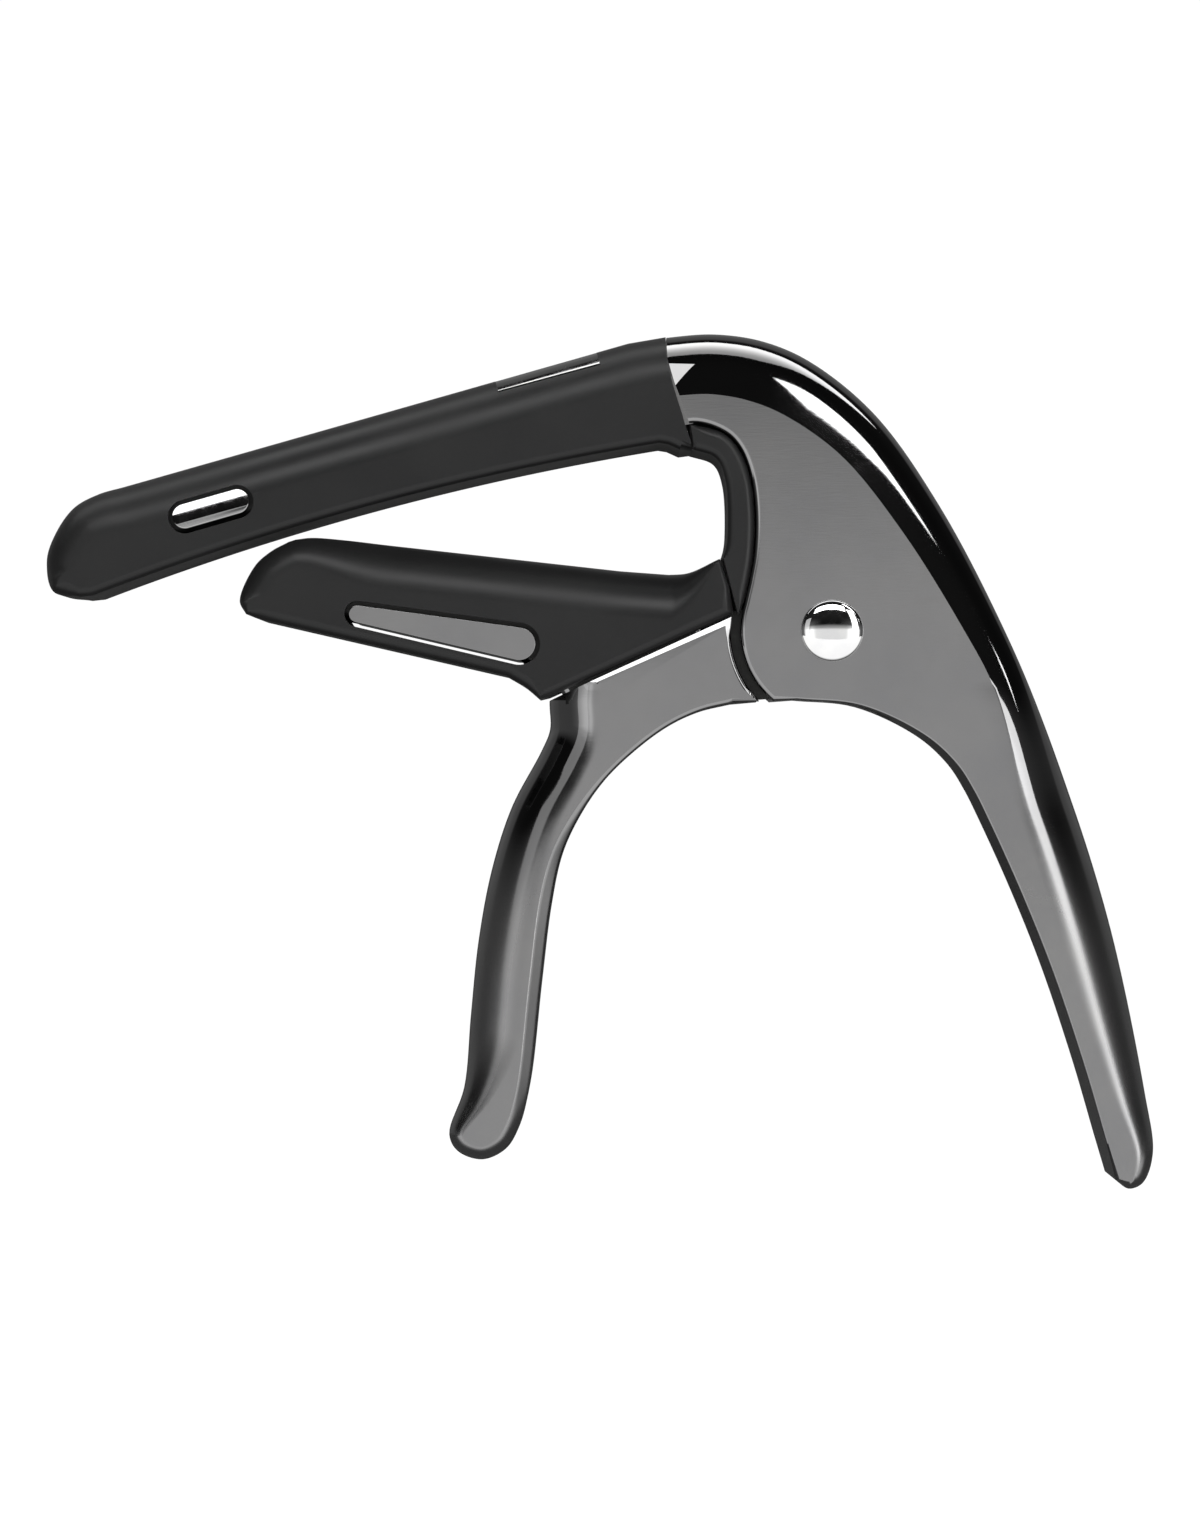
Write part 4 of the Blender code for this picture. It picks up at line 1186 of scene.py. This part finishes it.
def dress():
    nickel, bright, window = black_nickel(), bright_nickel(), boss_metal()
    rubber, steel, plastic = silicone(), spring_steel(), nylon()
    # the near-black painted shade for the castings' recesses
    recess = painted_shade_metal()
    casting = frame_casting()
    finish(casting, nickel, "frame", ["main_frame"])
    in_recesses(casting, recess)
    lever = lever_casting()
    finish(lever, nickel, "lever", ["lever"])
    in_recesses(lever, recess)
    finish(oval_boss(), window, "frame")
    wedge = layered("wedge_boss", wedge_outline(), dome_layers(BOSS_HALF, 0.05, 0.05))
    finish(wedge, nickel, "lever")
    finish(crown_land(), window, "frame")
    finish(upper_sleeve(), rubber, "frame", ["upper_sleeve"])
    finish(lower_sleeve(), rubber, "lever", ["lower_sleeve"])
    finish(throat_strip(), rubber, "frame", ["throat_pad"])
    finish(rivet_head(), bright, "frame", ["pivot_rivet"])
    finish(rivet_cap(), bright, "frame", ["rivet_cap"])
    wire, half = spring()
    finish(wire, steel, None, ["torsion_spring"])
    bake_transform(wire)
    for name in ("spring_bushing", "front_washer", "rear_washer"):
        node = frame["nodes"][name]
        node.data.materials.clear()
        node.data.materials.append(plastic)


# ---------------------------------------------------------------- studio


CARD_ACROSS = [(-0.92, 0.06), (-0.6, 0.7), (-0.45, 1.2), (-0.3, 0.78), (0.3, 0.78), (0.5, 1.6), (0.74, 1.7)]
CARD_ACROSS += [(0.9, 0.06)]
CARD_HEIGHT = [(-0.95, 0.3), (-0.7, 0.9), (0.035, 1.0), (0.09, 0.35), (0.16, 0.004)]
CARD_AHEAD = [(-0.5, 1.3), (-0.2, 0.0)]
ROOM_BESIDE = [(-0.6, 0.15), (-0.15, 0.0), (0.15, 0.0), (0.6, 0.11)]
ROOM_BELOW = [(0.12, 1.0), (0.34, 0.0)]
ROOM_ABOVE = [(-0.2, 0.08), (0.05, 0.2), (0.4, 1.0)]
ROOM_BEHIND = [(-0.2, 0.012), (0.36, 0.02), (0.5, 0.2), (0.9, 0.28)]
BACKDROP_LEVEL = 1.02

# Name, place from the capo's middle, size across and up, brightness
SOFTBOXES = [
    ("front_top", (-0.02, -0.50, 0.44258), (0.60, 0.20), 4.6),
    ("front_right", (0.46, -0.52, 0.12), (0.24, 0.72), 2.4),
    ("front_left", (-0.50, -0.50, 0.0), (0.30, 0.60), 0.5),
]
LIT_HEIGHT = 0.012
OVERHEAD_HEIGHT = 0.35
OVERHEAD_PLAN = [(-0.5, -0.074), (0.1, -0.074), (0.37, 0.082), (0.37, 0.088), (-0.5, 0.088)]
OVERHEAD_STOPS = [(0.0, 0.8), (0.35, 1.7), (0.8, 3.1), (1.0, 3.3)]
BAR_DISTANCE = 0.4
BAR_FROM_FRONT = 66

# Name, turns of the two ends, width, brightness
BARS = [("sliver", (20, 60), 0.05, 5.0), ("lower_sliver", (66, 78), 0.012, 4.0)]
FLOOR_DROP = 0.02
FLOOR_RADIUS = 0.45
LENS = 130
SENSOR = 36
VIEW_HEIGHT = 134.513 * MM


def softbox(name, place, target, size, radiance):
    """A rectangular light at a place, facing a target, with this brightness as a mirror would show it."""
    light = bpy.data.lights.new(name, "AREA")
    light.shape = "RECTANGLE"
    light.size, light.size_y = size
    light.energy = radiance * math.pi * light.size * light.size_y
    obj = bpy.data.objects.new(name, light)
    obj.location = place
    obj.rotation_euler = (Vector(target) - Vector(place)).to_track_quat("-Z", "Y").to_euler()
    obj.visible_camera = False
    bpy.context.scene.collection.objects.link(obj)


def lit_sheet(name, corners):
    """A sheet that only lights and is only seen in reflections."""
    bm = bmesh.new()
    bm.faces.new([bm.verts.new(c) for c in corners])
    mesh = bpy.data.meshes.new(name)
    bm.to_mesh(mesh)
    bm.free()
    obj = bpy.data.objects.new(name, mesh)
    obj.visible_camera = False
    obj.visible_diffuse = False
    obj.visible_shadow = False
    bpy.context.scene.collection.objects.link(obj)
    return obj


def overhead(middle, plan, stops):
    """A level sheet above the object with (x, y) corners round its middle, and brightness stops along Y."""
    obj = lit_sheet("overhead", [middle + Vector((x, y, 0)) for x, y in plan])
    front, back = min(y for x, y in plan), max(y for x, y in plan)
    m = Nodes("overhead")
    share = m.remap(m.axis("Y"), middle.y + front, middle.y + back, 0.0, 1.0)
    most = max(level for place, level in stops)
    m.glow(most, m.colours(share, [(at, (level / most,) * 3) for at, level in stops]))
    obj.data.materials.append(m.material)


def world():
    """White behind the object for the camera. For everything else a dim room with a pale card in front, which
    brightens towards both sides and ends just above the horizon."""
    made = bpy.data.worlds.new("studio")
    made.use_nodes = True
    tree = made.node_tree
    tree.nodes.clear()
    new, link = tree.nodes.new, tree.links.new
    split = new("ShaderNodeSeparateXYZ")
    link(new("ShaderNodeTexCoord").outputs["Generated"], split.inputs[0])

    def curve(value, stops):
        """Brightness against a direction's X, Y or Z, from -1 to 1."""
        spread = new("ShaderNodeMapRange")
        spread.inputs["From Min"].default_value = -1.0
        link(value, spread.inputs["Value"])
        node = new("ShaderNodeValToRGB")
        node.color_ramp.interpolation = "EASE"
        elements = node.color_ramp.elements
        while len(elements) < len(stops):
            elements.new(0.5)
        for element, (place, level) in zip(elements, stops):
            element.position = (place + 1) / 2
            element.color = (level, level, level, 1)
        link(spread.outputs["Result"], node.inputs["Fac"])
        return node.outputs["Color"]

    def joined(operation, a, b):
        node = new("ShaderNodeMath")
        node.operation = operation
        link(a, node.inputs[0])
        link(b, node.inputs[1])
        return node.outputs[0]

    across = curve(split.outputs["X"], CARD_ACROSS)
    height = curve(split.outputs["Z"], CARD_HEIGHT)
    ahead = curve(split.outputs["Y"], CARD_AHEAD)
    behind = joined("MULTIPLY", curve(split.outputs["Y"], ROOM_BEHIND), curve(split.outputs["Z"], ROOM_ABOVE))
    beside = joined("MULTIPLY", curve(split.outputs["X"], ROOM_BESIDE), curve(split.outputs["Z"], ROOM_BELOW))
    card = joined("MULTIPLY", joined("MULTIPLY", across, height), ahead)
    behind = joined("ADD", behind, beside)
    room = new("ShaderNodeBackground")
    link(joined("ADD", card, behind), room.inputs["Strength"])
    plain = new("ShaderNodeBackground")
    plain.inputs["Color"].default_value = (1, 1, 1, 1)
    plain.inputs["Strength"].default_value = BACKDROP_LEVEL
    path = new("ShaderNodeLightPath")
    either = new("ShaderNodeMixShader")
    link(path.outputs["Is Camera Ray"], either.inputs[0])
    link(room.outputs[0], either.inputs[1])
    link(plain.outputs[0], either.inputs[2])
    link(either.outputs[0], new("ShaderNodeOutputWorld").inputs["Surface"])
    bpy.context.scene.world = made


def floor(height, radius):
    """A round pale floor that blends into the backdrop and throws little light back up."""
    bm = bmesh.new()
    bmesh.ops.create_circle(bm, cap_ends=True, segments=96, radius=radius)
    mesh = bpy.data.meshes.new("floor")
    bm.to_mesh(mesh)
    bm.free()
    obj = bpy.data.objects.new("floor", mesh)
    obj.location = (0.02, 0.0, height)
    bpy.context.scene.collection.objects.link(obj)
    m = Nodes("pale_floor")
    new = m.tree.nodes.new
    m.tint(m.noise(8, 3), (0.30, 0.30, 0.30), (0.32, 0.32, 0.32))
    m.set(Roughness=0.9, Specular_IOR_Level=0.0)
    path = new("ShaderNodeLightPath")
    ahead = m.remap(m.axis("Y"), -0.012, -0.05, 0.0, 0.95)
    mirrored = m.math("MULTIPLY", path.outputs["Is Glossy Ray"], ahead)
    glow = new("ShaderNodeEmission")
    m.link(m.math("ADD", path.outputs["Is Camera Ray"], mirrored), glow.inputs["Strength"])
    both = new("ShaderNodeAddShader")
    m.link(m.shader.outputs[0], both.inputs[0])
    m.link(glow.outputs[0], both.inputs[1])
    m.surface(both.outputs[0])
    mesh.materials.append(m.material)


def camera():
    """Straight at the side, framed so that the capo fills the picture's width."""
    data = bpy.data.cameras.new("camera")
    data.lens, data.sensor_width = LENS, SENSOR
    distance = VIEW_HEIGHT * LENS / SENSOR
    obj = bpy.data.objects.new("camera", data)
    centre = (cad_low + cad_high) / 2
    obj.location = (centre.x, -CHEEK_HALF * MM - distance, centre.z)
    obj.rotation_euler = (math.pi / 2, 0, 0)
    data.clip_start, data.clip_end = 0.01, 20
    bpy.context.scene.collection.objects.link(obj)
    bpy.context.scene.camera = obj


def studio():
    middle = (cad_low + cad_high) / 2
    for name, (x, y, z), size, level in SOFTBOXES:
        softbox(name, (middle.x + x, y, middle.z + z), (middle.x, 0, middle.z), size, level)
    top = Vector((PIVOT.x, 0.0, LIT_HEIGHT))
    overhead(top + Vector((0.0, 0.0, OVERHEAD_HEIGHT)), OVERHEAD_PLAN, OVERHEAD_STOPS)
    for name, turns, width, level in BARS:
        ends = [top + BAR_DISTANCE * reflection(BAR_FROM_FRONT, turn) for turn in turns]
        bar(name, ends, width, level)
    world()
    floor(cad_low.z - FLOOR_DROP, FLOOR_RADIUS)
    camera()
    bpy.context.scene.view_settings.view_transform = "Standard"


def reflection(from_front, round_to_right):
    """The direction this many degrees from straight ahead of the object, leaning up or to the right."""
    b, t = math.radians(from_front), math.radians(round_to_right)
    return Vector((math.sin(b) * math.sin(t), -math.cos(b), math.sin(b) * math.cos(t)))


def bar(name, ends, width, level):
    """A glowing spindle between two points, facing the object."""
    middle = (ends[0] + ends[1]) / 2
    along = ends[1] - ends[0]
    across = along.cross(middle - Vector((PIVOT.x, 0, 0))).normalized() * width / 2
    corners = [ends[0], ends[0] + along * 0.3 - across, ends[0] + along * 0.7 - across * 0.8, ends[1]]
    corners += [ends[0] + along * 0.7 + across * 0.8, ends[0] + along * 0.3 + across]
    obj = lit_sheet(name, corners)
    m = Nodes(name)
    m.glow(level)
    obj.data.materials.append(m.material)


dress()
studio()
